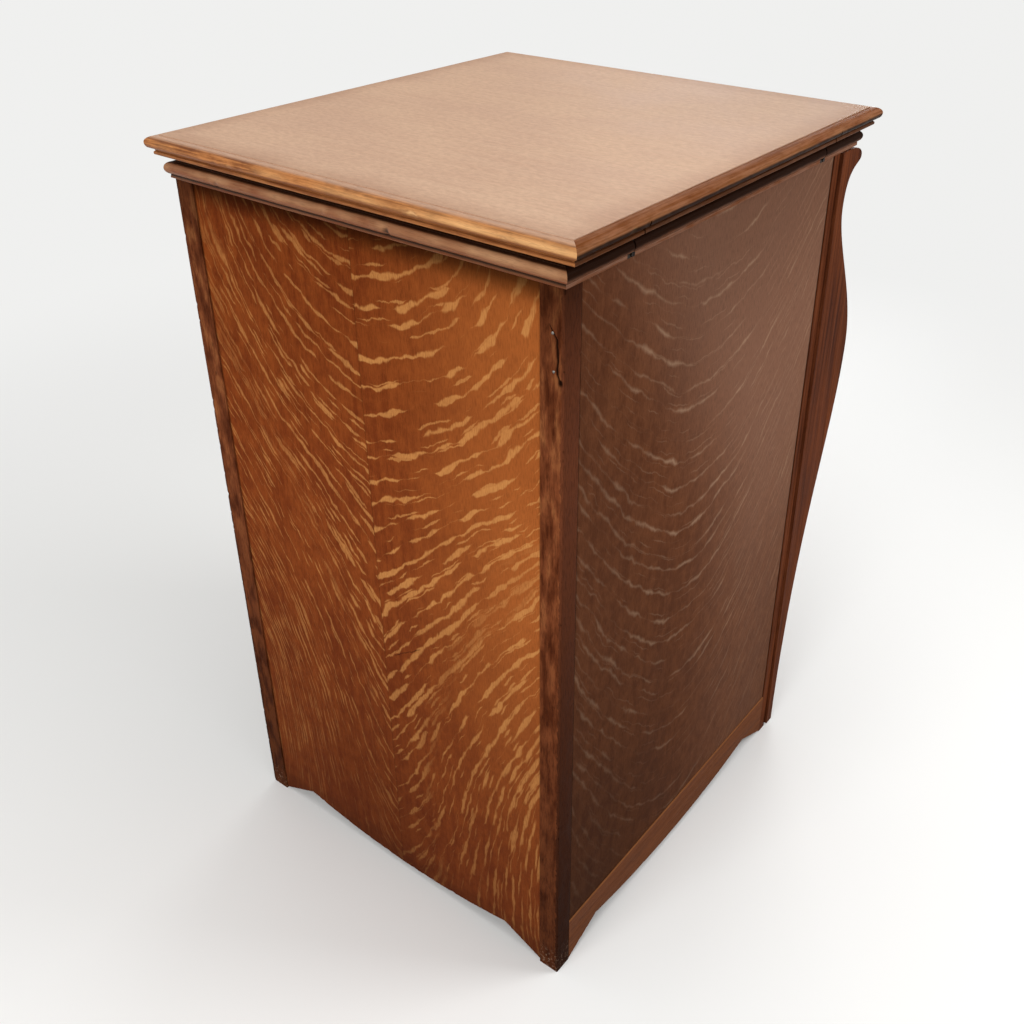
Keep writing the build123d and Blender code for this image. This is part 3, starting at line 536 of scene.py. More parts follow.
def frame_oak(name, colours, axis, dark, light):
    """Plain oak with its grain along one axis: long streaks, short pores, faint blotches of worn varnish,
    bare wood where it is rubbed and grime where it is chipped."""
    coat = Coat(name)
    _, along, across = coat.grain(axis)
    streak = coat.noise(*across, along / 110, size=(3.2, 3.2, 1), detail=3)
    hair = coat.noise(*across, along / 9, size=(0.8, 0.8, 1))
    blotch = coat.noise(*across, along / 90, size=(14, 14, 1), detail=3)
    coat.colour = coat.mix((streak * 0.6 + blotch * 0.4).rise(0.26, 0.72), dark, light)
    pore = hair.rise(0.36, 0.54, 0.78, 1)
    coat.shade(pore)
    coat.lay(coat.worn("rubbed_and_highlight") * 0.8, colours.bare)
    coat.lay(coat.worn("chipped"), colours.grime_and_shadow)
    coat.bump(pore + streak * 0.5, 0.0003, 0.5)
    return coat.finish(blotch.rise(0.3, 0.7, 0.4, 0.56), specular=0.006, tint=VARNISH)


def post_oak(colours, face):
    """Rear posts: a mottled red-brown back, and an outer side with a dull stain that creeps round the edge in
    an uneven line. Painted shade darkens the stain low down, and the whole post at the top and toward the
    floor. The foot is scuffed pale."""
    coat = Coat("oak_post_rear")
    x, y, z = coat.place()
    streak = coat.noise(x, y, z / 60, size=(3, 3, 1), detail=3)
    cloud = coat.noise(x, y, z / 30, size=(10, 10, 1), detail=4, roughness=0.55)
    pore = coat.noise(x, y, z / 7, size=(0.8, 0.8, 1)).rise(0.36, 0.54, 0.72, 1)
    red = (streak * 0.25 + cloud * 0.75).rise(0.36, 0.6)
    coat.colour = coat.mix(red, colours.post_dark, colours.post_red)
    bald = cloud.rise(0.52, 0.7) * z.rise(250, 640, 0.05, 0.4)
    coat.lay(bald, colours.bare)
    coat.lay(coat.worn("rubbed_and_highlight"), colours.bare)
    creep = coat.noise(x / 5, z / 8, detail=4, roughness=0.65)
    reach = creep * 8 + (abs(x) - face)
    # Painted shade: the stain darkened toward the floor.
    depth = z.curve([(0, 0.45), (130, 0.5), (300, 0.54), (440, 0.72), (590, 1.0)])
    coat.lay(reach.rise(0.9, 2, 0, 0.94), coat.shaded(colours.stain, depth))
    scuff = coat.noise(x, z, y, size=(3, 4, 3), detail=4, roughness=0.7)
    coat.lay(scuff.rise(0.54, 0.64) * z.rise(6, 42, 0.6, 0), colours.lid_brown)
    coat.shade(pore)
    # Painted shade by height: darker at the top under the moulding and toward the floor.
    coat.shade(z.curve([
        (0, 0.42), (130, 0.55), (300, 0.8), (540, 1.0), (630, 0.9), (690, 0.7), (715, 0.52), (736, 0.34),
    ]))
    coat.lay(coat.worn("chipped"), colours.grime_and_shadow)
    coat.bump(pore + cloud * 0.8, 0.0004, 0.5)
    return coat.finish(cloud.rise(0.3, 0.7, 0.36, 0.54), specular=0.005, tint=VARNISH)


def edge_oak(name, colours, axis, outer, dark, light, bright, grime_and_shade_by_height, shine=0.14, underside_shade=(), crest=()):
    """Oak of the mouldings: faint streaks along the length, bright where the round is rubbed and where a
    painted highlight lies on it, and grime with painted shade in the hollows by height, but only near the
    outer line. The underside shade gives by height how far painted shade darkens the underside of the round,
    and crest where the wood turns as pale as the lid's top."""
    coat = Coat(name)
    place, along, across = coat.grain(axis)
    height = place[2]
    streak = coat.noise(*across, along / 60, size=(1.6, 1.6, 1), detail=3)
    blotch = coat.noise(*place, size=(20, 20, 9), detail=4, roughness=0.6)
    hair = coat.noise(*across, along / 9, size=(0.6, 0.6, 1))
    coat.colour = coat.mix((streak * 0.6 + blotch * 0.4).rise(0.38, 0.62), dark, light)
    # Rubbing and painted highlights, laid in the bright colour.
    coat.lay(coat.worn("rubbed_and_highlight") * 0.9, bright)
    # Painted shade on the underside of the round.
    if underside_shade:
        coat.lay(height.curve(underside_shade), dark)
    if crest:
        coat.lay(height.rise(*crest), colours.lid_brown)
    coat.shade(hair.rise(0.35, 0.52, 0.8, 1))
    near_outside = abs(across[0] - outer).rise(8, 10.5, 1, 0)
    # Grime and painted shade in the hollows by height.
    dirt = height.curve(grime_and_shade_by_height) * near_outside
    smear = (dirt + (blotch - 0.5) * 0.5).rise(0.15, 0.85)
    coat.lay(smear * 0.95, colours.grime_and_shadow)
    coat.lay(coat.worn("chipped"), colours.grime_and_shadow)
    coat.bump(hair * 0.5 + streak * 0.5, 0.00025, 0.5)
    return coat.finish(blotch.rise(0.3, 0.7, 0.3, 0.44), specular=shine, tint=VARNISH)


def flat_oak(coat, colours, grain, across, up, seed):
    """Lays a varnished flat board with quarter-sawn flecks that hang in shallow garlands over the grain."""
    notch = [(-230, 0.1), (230, 0.1)]
    hang = [(-230, 0.0016), (230, 0.0024)]
    level, steep, along = veneer_flow(across, up, notch, hang, 45.0)
    level = ragged(coat, level, steep, across, up, seed, 7, 4.6, 0.8)
    spacing = grain.row_spacing / MM
    run = along / 62
    swell = coat.noise(across, up, seed + 4, size=(26, 30, 1)).rise(0.35, 0.65, 0.6, 1.7)
    broad = fleck_rows(coat, run, level, steep, spacing * 0.7, swell, 1.4, seed + 11, 0.4, 0.58)
    thin = fleck_rows(coat, run * 2.2, level, steep, spacing * 0.4, 0.7, 1, seed + 29, 0.45, 0.64)
    fleck = broad.step("MAXIMUM", thin * 0.7)
    pore, patch = veneer_tone(coat, across, up, seed, colours.frame_light, colours.veneer_light)
    coat.lay(fleck * pore * patch.rise(0.25, 0.7, 0.35, 0.65), colours.fleck)


def lid_oak(colours, grain):
    """Lid: its top bleached, nearly matte, with faint grain across the table and a few stains, and its
    varnished underside, which has kept its colour and its flecks."""
    coat = Coat("oak_lid_top")
    x, y, z = coat.place()
    streak = coat.noise(x / 120, y, size=(1, 7, 1), detail=4, roughness=0.6)
    stain = coat.noise(x, y, size=(120, 90, 1), detail=3)
    pore = coat.noise(x / 14, y, z, size=(1, 0.9, 1)).rise(0.3, 0.46, 0.93, 1)
    pale = (streak * 0.4 + stain * 0.6).rise(0.32, 0.68)
    coat.colour = coat.mix(pale, colours.lid_brown, colours.lid_pale)
    coat.shade(pore)
    mottle = coat.noise(x, y, 3, size=(7, 3.5, 1), detail=5, roughness=0.7)
    coat.shade(mottle.rise(0.3, 0.7, 0.88, 1.06))
    half_width, half_depth, middle = 222.0, 239.5, 16.5
    rim = (half_width - abs(x)).step("MINIMUM", half_depth - abs(y - middle))
    coat.shade(rim.rise(0.3, 1.3, 0.9, 1))
    coat.lay((stain * 40 + rim).rise(14, 52, 0.3, 0), colours.shaded_edge_and_rim)
    # Darker toward the front left corner of the top.
    front_left_darker = x.rise(-220, 150, 1, 0) * y.rise(-260, 90, 1, 0)
    coat.shade(1 - front_left_darker * 0.2)
    bleached = coat.colour
    flat_oak(coat, colours, grain, y - 60, x, 71)
    coat.lay(z.rise(760, 768), bleached)
    coat.bump(pore * 0.6 + streak * 0.4, 0.0002, 0.35)
    return coat.finish(stain.rise(0.3, 0.7, 0.5, 0.6), specular=0.08)


def bed_oak(colours, grain):
    """Bed board under the lid: flecked oak with its grain across the table, rubbed dark round the opening for
    the head."""
    coat = Coat("oak_bed")
    x, y, z = coat.place()
    flat_oak(coat, colours, grain, y + 40, x, 83)
    beyond_opening = (abs(x + 28) - 150).step("MAXIMUM", abs(y + 10) - 85)
    smudge = coat.noise(x, y, size=(30, 30, 1), detail=4, roughness=0.6)
    coat.shade((smudge * 50 + beyond_opening).rise(16, 48, 0.62, 1))
    coat.shade(z.rise(738, 747, 0.7, 1))
    coat.bump(smudge, 0.0002, 0.3)
    return coat.finish(smudge.rise(0.2, 0.8, 0.32, 0.5), specular=0.1, tint=VARNISH)


def turned_wood():
    """Oiled hardwood of the pitman, with its grain upright."""
    coat = Coat("pitman_wood")
    x, y, z = coat.place()
    streak = coat.noise(x, y, z / 40, size=(3, 3, 1), detail=3)
    coat.colour = coat.mix(streak.rise(0.35, 0.65), srgb("6B4526"), srgb("9A6A3C"))
    coat.bump(streak, 0.0003, 0.4)
    return coat.finish(streak.rise(0.3, 0.7, 0.4, 0.55))


def worked_metal(name, base, dark, smooth, rough, metallic, scale):
    """Metal with soft blotches of tarnish and fine scratches, given by two sRGB codes and two roughnesses."""
    coat = Coat(name)
    place = coat.place()
    blotch = coat.noise(*place, size=(scale, scale, scale), detail=3)
    fine = coat.noise(*place, size=(1.2, 1.2, 1.2), detail=3)
    coat.colour = coat.mix((blotch * 0.8 + fine * 0.2).rise(0.3, 0.68), srgb(dark), srgb(base))
    coat.bump(fine, 0.0002, 0.2)
    return coat.finish(blotch.rise(0.3, 0.7, rough, smooth), metallic=metallic)


def dress(material, *names):
    """Puts a material on CAD nodes."""
    for name in names:
        data = NODES[name].data
        data.materials.clear()
        data.materials.append(material)


def wander(along, size, seed):
    """Smooth random curve from -1 to 1: seeded heights one size apart, joined by cosine steps."""
    heights = np.random.default_rng(seed).uniform(-1, 1, 4096)
    place = along / size + 1024
    cell = np.floor(place).astype(int)
    share = (1 - np.cos(np.pi * (place - cell))) / 2
    return heights[cell] * (1 - share) + heights[cell + 1] * share


def nicks(along, seed, count, width, depth):
    """Knocks along an edge: a sum of bells at seeded places, most of them shallow."""
    rng = np.random.default_rng(seed)
    places = rng.uniform(along.min(), along.max(), count)
    widths = width * rng.uniform(0.4, 1.6, count)
    depths = depth * rng.uniform(0.15, 1, count) ** 2
    return (depths * bell(along[..., None], places, widths)).sum(-1)


def bell(values, centre, width):
    """Bell curve of height 1."""
    return np.exp(-((values - centre) / width) ** 2)


def arc(centre, radii, start, end, count):
    """Points of an ellipse between two angles in degrees."""
    angle = np.radians(np.linspace(start, end, count))
    return np.stack([centre[0] + radii[0] * np.cos(angle), centre[1] + radii[1] * np.sin(angle)], -1)


def tube_faces(rows, size):
    """Quads of a closed profile carried along a path, and a flat face at each end."""
    start = np.arange(rows - 1)[:, None] * size
    here = np.arange(size)[None, :]
    after = (here + 1) % size
    quads = np.stack([start + here, start + after, start + size + after, start + size + here], -1)
    return quads.reshape(-1, 4).tolist() + [list(range(size)), list(range((rows - 1) * size, rows * size))]


def add_piece(name, points, faces, material, body, replaced=(), marks=None, sharp=38.0):
    """Adds a piece from points in millimetres, its faces turned outwards. Marks are attributes of points."""
    mesh = bpy.data.meshes.new(name)
    mesh.from_pydata((np.reshape(points, (-1, 3)) * MM).tolist(), [], faces)
    work = bmesh.new()
    work.from_mesh(mesh)
    bmesh.ops.recalc_face_normals(work, faces=work.faces)
    work.to_mesh(mesh)
    work.free()
    for mark, values in (marks or {}).items():
        layer = mesh.attributes.new(mark, "FLOAT", "POINT")
        layer.data.foreach_set("value", np.ravel(np.clip(values, 0, 1)).astype(np.float32))
    mesh.shade_smooth()
    mesh.set_sharp_from_angle(angle=math.radians(sharp))
    mesh.materials.append(material)
    piece = bpy.data.objects.new(name, mesh)
    bpy.context.scene.collection.objects.link(piece)
    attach(piece, body)
    if replaced:
        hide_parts(*replaced)


def add_worn(node, points, faces, material, body, marks, sharp=38.0):
    """Adds the worn version of a CAD node, which it replaces."""
    add_piece(f"{node}_worn", points, faces, material, body, (node,), marks, sharp)


def lid_profile(low, high):
    """Section of the lid's edge as (inset, height): two quarter ellipses, a hollow and a bead."""
    nose = high - 5.6
    return np.concatenate([
        arc((8.3, nose), (8.3, 5.6), 90, 180, 11),
        arc((3.4, nose), (3.4, 5.0), 180, 270, 9)[1:],
        arc((3.4, low + 3.3), (2.8, 2.6), 90, 0, 6)[1:],
        arc((5.9, low + 1.65), (1.0, 1.65), 90, 270, 7),
        [(9.5, low), (9.5, high)],
    ])


def bed_profile(low, high):
    """Section of the bed moulding as (inset, height): a bull-nose over a plain band."""
    return np.concatenate([
        arc((5.6, low + 8.8), (5.6, 5.6), 90, 270, 17),
        [(3.9, low + 3.2)],
        arc((4.1, low + 0.6), (0.6, 0.6), 180, 270, 4),
        [(26.0, low), (26.0, high), (6.6, high), (6.6, high - 0.6)],
    ])


def outer_lines(moulding):
    """Outer lines of a moulding's four lengths by side, and its lowest and highest heights."""
    low, high = box_mm(f"{moulding}_back")
    front = box_mm(f"{moulding}_front")[0][1]
    return {"back": high[1], "left": -high[0], "front": front, "right": high[0]}, low[2], high[2]


def battering(flat, drift, nose, nicked, dented, dents):
    """Makes a function that gives how far each point of a moulding is beaten in, up to the inset of its flat.
    Drift is the depth, size and seed of slow waves. Nicks lie on the nose, and dents of (place, width, depth)
    where the moulding is dented, both given as a height and a reach."""
    depth, size, seed = drift

    def beaten(run, inset, height):
        total = depth * wander(run, size, seed) + bell(height, *nose) * nicks(run, *nicked)
        for place, width, amount in dents:
            total = total + amount * bell(run, place, width) * bell(height, *dented)
        return np.where(inset < flat, total, 0)

    return beaten


def mitred_length(profile, side, outers, knocks, slots=(), slot_top=0.0):
    """One mitred length of a moulding. A point stands in from the side's outer line by its inset, and near an
    end it is drawn back by the same inset, which cuts the mitre. In a slot each point under the slot's top is
    lifted to it, and stands in at least as far as those before it. Knocks beat the points in."""
    across = side in ACROSS
    front, back = outers["front"], outers["back"]
    middle = 0.0 if across else (front + back) / 2
    reach = outers["right"] if across else (back - front) / 2
    along = np.linspace(-reach, reach, int(reach * 2 / 2.5))
    edges = np.array([s - middle + e for s in slots for e in (-SLOT_WIDTH / 2, SLOT_WIDTH / 2)])
    if len(edges):
        along = np.unique(np.concatenate([along, edges - 0.01, edges + 0.01]))
    run, inset = np.meshgrid(along, profile[:, 0], indexing="ij")
    height = np.broadcast_to(profile[:, 1], run.shape)
    beaten = knocks(run + middle, inset, height)
    inset = inset + beaten
    for s in slots:
        cut = (np.abs(run + middle - s) < SLOT_WIDTH / 2) & (height < slot_top)
        inset = np.where(cut, np.maximum.accumulate(np.where(cut, inset, 0), axis=1), inset)
        height = np.where(cut, slot_top, height)
    ramp = np.clip((np.abs(run) - (reach - MITRE_REACH)) / MITRE_REACH, 0, 1)
    place = middle + run - np.sign(run) * inset * ramp
    line = outers[side] + (inset if side in ("front", "left") else -inset)
    points = np.stack([place, line, height] if across else [line, place, height], -1)
    return points, tube_faces(*run.shape), beaten


class SEWINGTABLE_OT_lid(bpy.types.Operator):
    """Sweep the four worn lengths of the lid's edge and finish the lid's top"""

    bl_idname = "sewing_table.lid"
    bl_label = "Lid"

    def execute(self, context):
        colours = context.scene.oak_colours
        nick = context.scene.wear_sizes.nick / MM
        dress(lid_oak(colours, context.scene.oak_grain), "lid_panel")
        outers, low, high = outer_lines("lid_edge")
        profile = lid_profile(low, high)
        slots = (outers["front"] + LINK_INSET, outers["back"] - LINK_INSET)
        slot_top = box_mm("lid_hinge_links")[1][2] + SLOT_ROOM
        other_sides = {
            "light": colours.edge_gold,
            # Grime, with painted shade where the edge meets the gap under it.
            "grime_and_shade_by_height": [
                (750, 0.7), (754.4, 0.3), (756.2, 0.1), (758.2, 0.3), (760.4, 0.1), (762.2, 0.0), (772, 0.0),
            ],
            # Painted shade on the underside of the round.
            "underside_shade": [(750, 0.5), (757, 0.45), (761, 0.75), (762.5, 0.7), (765, 0.0), (772, 0.0)],
            "crest": (769.6, 771.4, 0.0, 0.8),
        }
        # Painted shade: the left side, which lies in shade, gets a duller edge colour and darker hollows by
        # height.
        shaded_left = {
            "light": colours.shaded_edge_and_rim,
            "grime_and_shade_by_height": [
                (750, 0.9), (752, 0.6), (757.5, 0.55), (759.5, 0.66),
                (763.0, 0.85), (765.5, 0.5), (767.5, 0.05), (772, 0.0),
            ],
            "shine": 0.012,
        }
        dents = {"back": [(-84, 6, 1.6), (-169, 3.5, 1.2), (120, 3, 0.8)], "left": [(196, 4, 0.9)]}
        for number, side in enumerate(outers):
            left = side == "left"
            axis = "X" if side in ACROSS else "Y"
            knocks = battering(
                9, (0.12, 21.0, number), (high - 7.5, 4.5), (40 + number, 26, 3.0, nick * 0.4),
                (high - 8.5, 3.2), dents.get(side, ()),
            )
            points, faces, beaten = mitred_length(
                profile, side, outers, knocks, slots if left else (), slot_top
            )
            along = points[..., "XY".index(axis)]
            handling_and_highlight = 0.2 + 0.3 * wander(along, 34.0, 70 + number)
            # Painted highlight: the back edge grows brighter toward the near corner.
            if side == "back":
                handling_and_highlight = handling_and_highlight + 0.75 * np.clip((-30 - along) / 150, 0, 1)
            # The crown mark is rubbing on the nose and a painted highlight there, weaker on the shaded left
            # side.
            crown = handling_and_highlight * bell(points[..., 2], high - 5.5, 3.0) * (0.3 if left else 1.0)
            material = edge_oak(
                f"oak_lid_edge_{side}", colours, axis, outers[side], colours.edge_brown,
                bright=colours.edge_rub_highlight, **(shaded_left if left else other_sides),
            )
            rubbed_and_highlight = np.maximum((beaten - 0.35) / 0.8, crown)
            add_worn(f"lid_edge_{side}", points, faces, material, "lid", {"rubbed_and_highlight": rubbed_and_highlight})
        return {"FINISHED"}


class SEWINGTABLE_OT_bed(bpy.types.Operator):
    """Sweep the worn bed mouldings and finish the bed board"""

    bl_idname = "sewing_table.bed"
    bl_label = "Bed"

    def execute(self, context):
        colours = context.scene.oak_colours
        nick = context.scene.wear_sizes.nick / MM
        dress(bed_oak(colours, context.scene.oak_grain), "bed_board")
        outers, low, high = outer_lines("bed_moulding")
        profile = bed_profile(low, high)
        other_sides = {
            "dark": colours.frame_light,
            "light": colours.moulding,
            # Grime, with painted shade at the foot of the bull-nose and under the lid.
            "grime_and_shade_by_height": [
                (735, 0.25), (737.2, 0.55), (738.6, 0.85), (740.4, 0.12),
                (747.6, 0.1), (749.4, 0.8), (751, 0.95),
            ],
        }
        # Painted shade and sheen: the shaded left moulding takes the side panels' colours, with their painted
        # grey sheen, and darker hollows.
        shaded_left = {
            "dark": colours.side_light,
            "light": colours.side_sheen,
            "grime_and_shade_by_height": [(735, 0.15), (738, 0.2), (740.5, 0.4), (743, 0.75), (746, 1.0), (751, 1.0)],
            "shine": 0.004,
        }
        materials = {
            side: edge_oak(
                f"oak_moulding_{side}", colours, "X" if side in ACROSS else "Y", outer,
                bright=colours.moulding_rub_highlight, **(shaded_left if side == "left" else other_sides),
            )
            for side, outer in outers.items()
        }
        dress(materials["left"], "bed_moulding_left")
        dents = {"back": [(-49.5, 3.0, 1.8), (150, 3.0, 1.0)]}
        for number, side in enumerate(("back", "front", "right")):
            knocks = battering(
                6, (0.15, 17.0, 20 + number), (low + 8.8, 5.0), (60 + number, 24, 2.4, nick * 0.6),
                (low + 7.0, 4.0), dents.get(side, ()),
            )
            points, faces, beaten = mitred_length(profile, side, outers, knocks)
            along = points[..., 0 if side in ACROSS else 1]
            handling_and_highlight = 0.5 + 0.25 * wander(along, 9.0, 90 + number) + 0.25 * wander(along, 50.0, 95 + number)
            # Painted highlight: the back moulding grows brighter toward the near corner.
            if side == "back":
                handling_and_highlight = handling_and_highlight + 0.4 * np.clip(-along / 200, 0, 1)
            # The crown mark is rubbing on the bull-nose and a painted highlight there.
            crown = handling_and_highlight * bell(points[..., 2], low + 11.0, 3.2)
            marks = {"chipped": (beaten - 0.7) / 0.9, "rubbed_and_highlight": crown}
            add_worn(f"bed_moulding_{side}", points, faces, materials[side], "cabinet", marks)
        return {"FINISHED"}


def post_section(width, depth, radii, columns):
    """Outline of a rear post from its inner corner, as grids of (height, point, 2): four rounded corners, a
    groove for the side panel's tongue in the front face and one for the back panel's in the inner face, and
    columns of points on the back face, to be dented later."""
    rows = radii.shape[0]

    def spots(*places):
        return np.broadcast_to(np.array(places, float), (rows, len(places), 2))

    def corner(number, a, b, start):
        angle = np.radians(np.linspace(start, start + 90, CORNER_POINTS))
        r = radii[:, number, None]
        inward = ((1, 1), (-1, 1), (-1, -1), (1, -1))[number]
        return np.stack([a + r * (inward[0] + np.cos(angle)), b + r * (inward[1] + np.sin(angle))], -1)

    (near, far), (low, high), deep = SIDE_GROOVE, BACK_GROOVE, GROOVE_DEPTH
    return [
        corner(0, 0, 0, 180),
        spots((near, 0), (near, deep), (far, deep), (far, 0)),
        corner(1, width, 0, 270),
        corner(2, width, depth, 0),
        spots(*((a, depth) for a in columns)),
        corner(3, 0, depth, 90),
        spots((0, high), (deep, high), (deep, low), (0, low)),
    ]


def back_dents(across, up, seed, split):
    """Depth of the dents in a post's back face: seeded round dings, and on request a split that wanders down
    from one edge and ends in a hole."""
    rng = np.random.default_rng(seed)
    depth = np.zeros(np.broadcast(across, up).shape)
    for _ in range(34):
        a, z, size = rng.uniform(3, 19), rng.uniform(20, 715), rng.uniform(0.8, 2.2)
        depth = np.maximum(depth, rng.uniform(0.15, 0.5) * bell(across, a, size) * bell(up, z, 2 * size))
    if split:
        path = np.interp(up, [655, 661.4, 667.7, 680, 694.7, 706], [18.6, 18.3, 15.6, 15.9, 14.9, 7.4])
        path = path + 0.3 * wander(up, 3.0, seed + 1)
        wide = 0.85 + 0.4 * wander(up, 5.0, seed + 2)
        ends = np.clip((up - 658) / 4, 0, 1) * np.clip((707 - up) / 4, 0, 1)
        hole = 1.7 * bell(across, 18.3, 1.7) * bell(up, 661.4, 2.4)
        depth = np.maximum(np.maximum(depth, 1.2 * ends * bell(across, path, wide)), hole)
    return depth


def worn_post(side, arris, nick, seed):
    """A rear post: its outline carried up, with knocked corners and a dented back. The left one is split."""
    low, high = box_mm(f"post_rear_{side}")
    width, depth = high[0] - low[0], high[1] - low[1]
    height = np.unique(np.concatenate([np.linspace(0, high[2], 736), np.linspace(0, 4, 5)]))
    base = arris * (1 + 0.35 * wander(height, 30.0, seed))
    knocked = np.stack([
        0 * height,
        nicks(height, seed + 1, 30, 1.4, nick * 0.6),
        nicks(height, seed + 2, 60, 1.5, nick),
        nicks(height, seed + 3, 30, 1.4, nick * 0.6),
    ], 1)
    largest = 2.6
    radii = np.minimum(base[:, None] * np.array([0.6, 0.7, 0.8, 0.7]) + knocked, largest)
    columns = np.linspace(width - largest - 0.1, largest + 0.1, 34)
    parts = post_section(width, depth, radii, columns)
    outline = np.concatenate(parts, 1)
    starts = np.cumsum([0] + [part.shape[1] for part in parts])
    tall = np.repeat(height[:, None], outline.shape[1], 1)
    chipped = np.zeros_like(tall)
    rubbed_and_highlight = np.zeros_like(tall)
    round_share = np.array([0, 0.4, 1, 1, 0.4, 0])
    handling_and_highlight = 0.25 * np.clip(wander(height, 26.0, seed + 9), 0, 1)
    # Corners 1, 2 and 3 and the back face are parts 2, 3, 5 and 4 of the outline.
    for number, part in ((1, 2), (2, 3), (3, 5)):
        corner = slice(starts[part], starts[part + 1])
        struck = np.clip((knocked[:, number] / nick - 0.25) * 1.6, 0, 1)
        struck = struck * (0.65 + 0.35 * wander(height, 5.0, seed + number))
        chipped[:, corner] = struck[:, None] * round_share
        rubbed_and_highlight[:, corner] = handling_and_highlight[:, None] * round_share
    back = slice(starts[4], starts[5])
    dents = back_dents(columns[None, :], height[:, None], seed + 20, side == "left")
    outline[:, back, 1] -= dents
    chipped[:, back] = np.clip(dents * 1.5 - 0.3, 0, 1)
    x = (high[0] - outline[..., 0]) if side == "left" else (low[0] + outline[..., 0])
    points = np.stack([x, low[1] + outline[..., 1], tall], -1)
    return points, tube_faces(*tall.shape), {"chipped": chipped, "rubbed_and_highlight": rubbed_and_highlight}


def scalloped_board(start, end, top, outer, inner, lower_round, upper_round, seed, worn, share):
    """A board with a scalloped lower edge, as a section carried along it. The lower edge rises in a ramp from
    each end to an apex, and hangs between the apexes in an arc. The section goes from the outer face over a
    rounded upper corner, down the inner face and round two lower corners, and its worn part is rubbed by a
    share. Points come as (along, across, height)."""
    middle, half = (start + end) / 2, (end - start) / 2
    apex = half - RAMP_LENGTH
    along = np.unique(np.concatenate([np.linspace(-half, half, 230), [-apex, apex]]))
    drop = RAMP_TOP - HANG_LOW
    radius = (apex ** 2 + drop ** 2) / (2 * drop)
    hanging = HANG_LOW + radius - np.sqrt(np.maximum(radius ** 2 - along ** 2, 0))
    ramp = RAMP_FOOT + (half - np.abs(along)) / RAMP_LENGTH * (RAMP_TOP - RAMP_FOOT)
    lower = np.where(np.abs(along) < apex, hanging, ramp) + 0.15 * wander(along, 9.0, seed)
    lower = lower + nicks(along, seed + 1, 18, 2.0, 1.0)
    thick = abs(outer - inner)
    r, u = lower_round, upper_round
    head = np.concatenate([[(0, -u - 2)], arc((u, -u), (u, u), 180, 90, 4), [(thick, 0)]])
    corners = arc((thick - r, r), (r, r), 0, -90, 5), arc((r, r), (r, r), 270, 180, 5)
    foot = np.concatenate([[(thick, r + 2)], *corners, [(0, r + 2)]])
    across = np.concatenate([head[:, 0], foot[:, 0]])
    run = np.repeat((middle + along)[:, None], len(across), 1)
    depth = np.broadcast_to(outer + np.sign(inner - outer) * across, run.shape)
    height = np.concatenate([
        np.broadcast_to(top + head[:, 1], (len(along), len(head))), lower[:, None] + foot[:, 1],
    ], 1)
    rubbed_and_highlight = np.zeros_like(run)
    rubbed_and_highlight[:, worn] = share
    return np.stack([run, depth, height], -1), tube_faces(*run.shape), {"rubbed_and_highlight": rubbed_and_highlight}


class SEWINGTABLE_OT_posts(bpy.types.Operator):
    """Build the worn rear posts and side rails and finish the rest of the frame"""

    bl_idname = "sewing_table.posts"
    bl_label = "Posts and rails"

    def execute(self, context):
        colours = context.scene.oak_colours
        sizes = context.scene.wear_sizes
        rear = post_oak(colours, box_mm("post_rear_right")[1][0])
        for side, seed in (("left", 100), ("right", 200)):
            points, faces, marks = worn_post(side, sizes.arris / MM, sizes.nick / MM, seed)
            add_worn(f"post_rear_{side}", points, faces, rear, "cabinet", marks, sharp=50.0)
        dark, light = colours.frame_dark, colours.frame_light
        upright = frame_oak("oak_frame_upright", colours, "Z", dark, light)
        dress(upright, "post_front_left", "post_front_right", "door_stile_left", "door_stile_right")
        cross = frame_oak("oak_frame_cross", colours, "X", dark, light)
        dress(cross, "front_rail", "door_top_rail", "door_bottom_rail")
        deep = frame_oak("oak_frame_deep", colours, "Y", colours.side_dark, colours.side_light)
        for side, seed in (("left", 300), ("right", 400)):
            low, high = box_mm(f"side_rail_{side}")
            outer, inner = (low[0], high[0]) if side == "left" else (high[0], low[0])
            upper_corner = slice(1, 5)
            points, faces, marks = scalloped_board(
                low[1], high[1], high[2], outer, inner, sizes.lower_edge / MM, 0.7, seed, upper_corner, 0.5
            )
            add_worn(f"side_rail_{side}", points[..., [1, 0, 2]], faces, deep, "cabinet", marks)
        return {"FINISHED"}


class SEWINGTABLE_OT_panels(bpy.types.Operator):
    """Build the back panel with its worn lower edge and finish the veneered panels"""

    bl_idname = "sewing_table.panels"
    bl_label = "Panels"

    def execute(self, context):
        colours, grain = context.scene.oak_colours, context.scene.oak_grain
        lower_round = context.scene.wear_sizes.lower_edge / MM
        low, high = box_mm("back_panel")
        end = box_mm("post_rear_right")[0][0]
        lower_edge = slice(6, None)
        points, faces, marks = scalloped_board(
            -end, end, high[2], high[1], low[1], lower_round, 0.3, 500, lower_edge, 0.7
        )
        add_worn("back_panel", points, faces, back_oak(colours, grain), "cabinet", marks)
        dress(side_oak("oak_veneer_side_left", colours, grain, "Y", 34, 17), "side_panel_left")
        dress(side_oak("oak_veneer_side_right", colours, grain, "Y", 20, 37), "side_panel_right")
        dress(side_oak("oak_veneer_door", colours, grain, "X", 0, 57, 1.3), "door_panel")
        return {"FINISHED"}


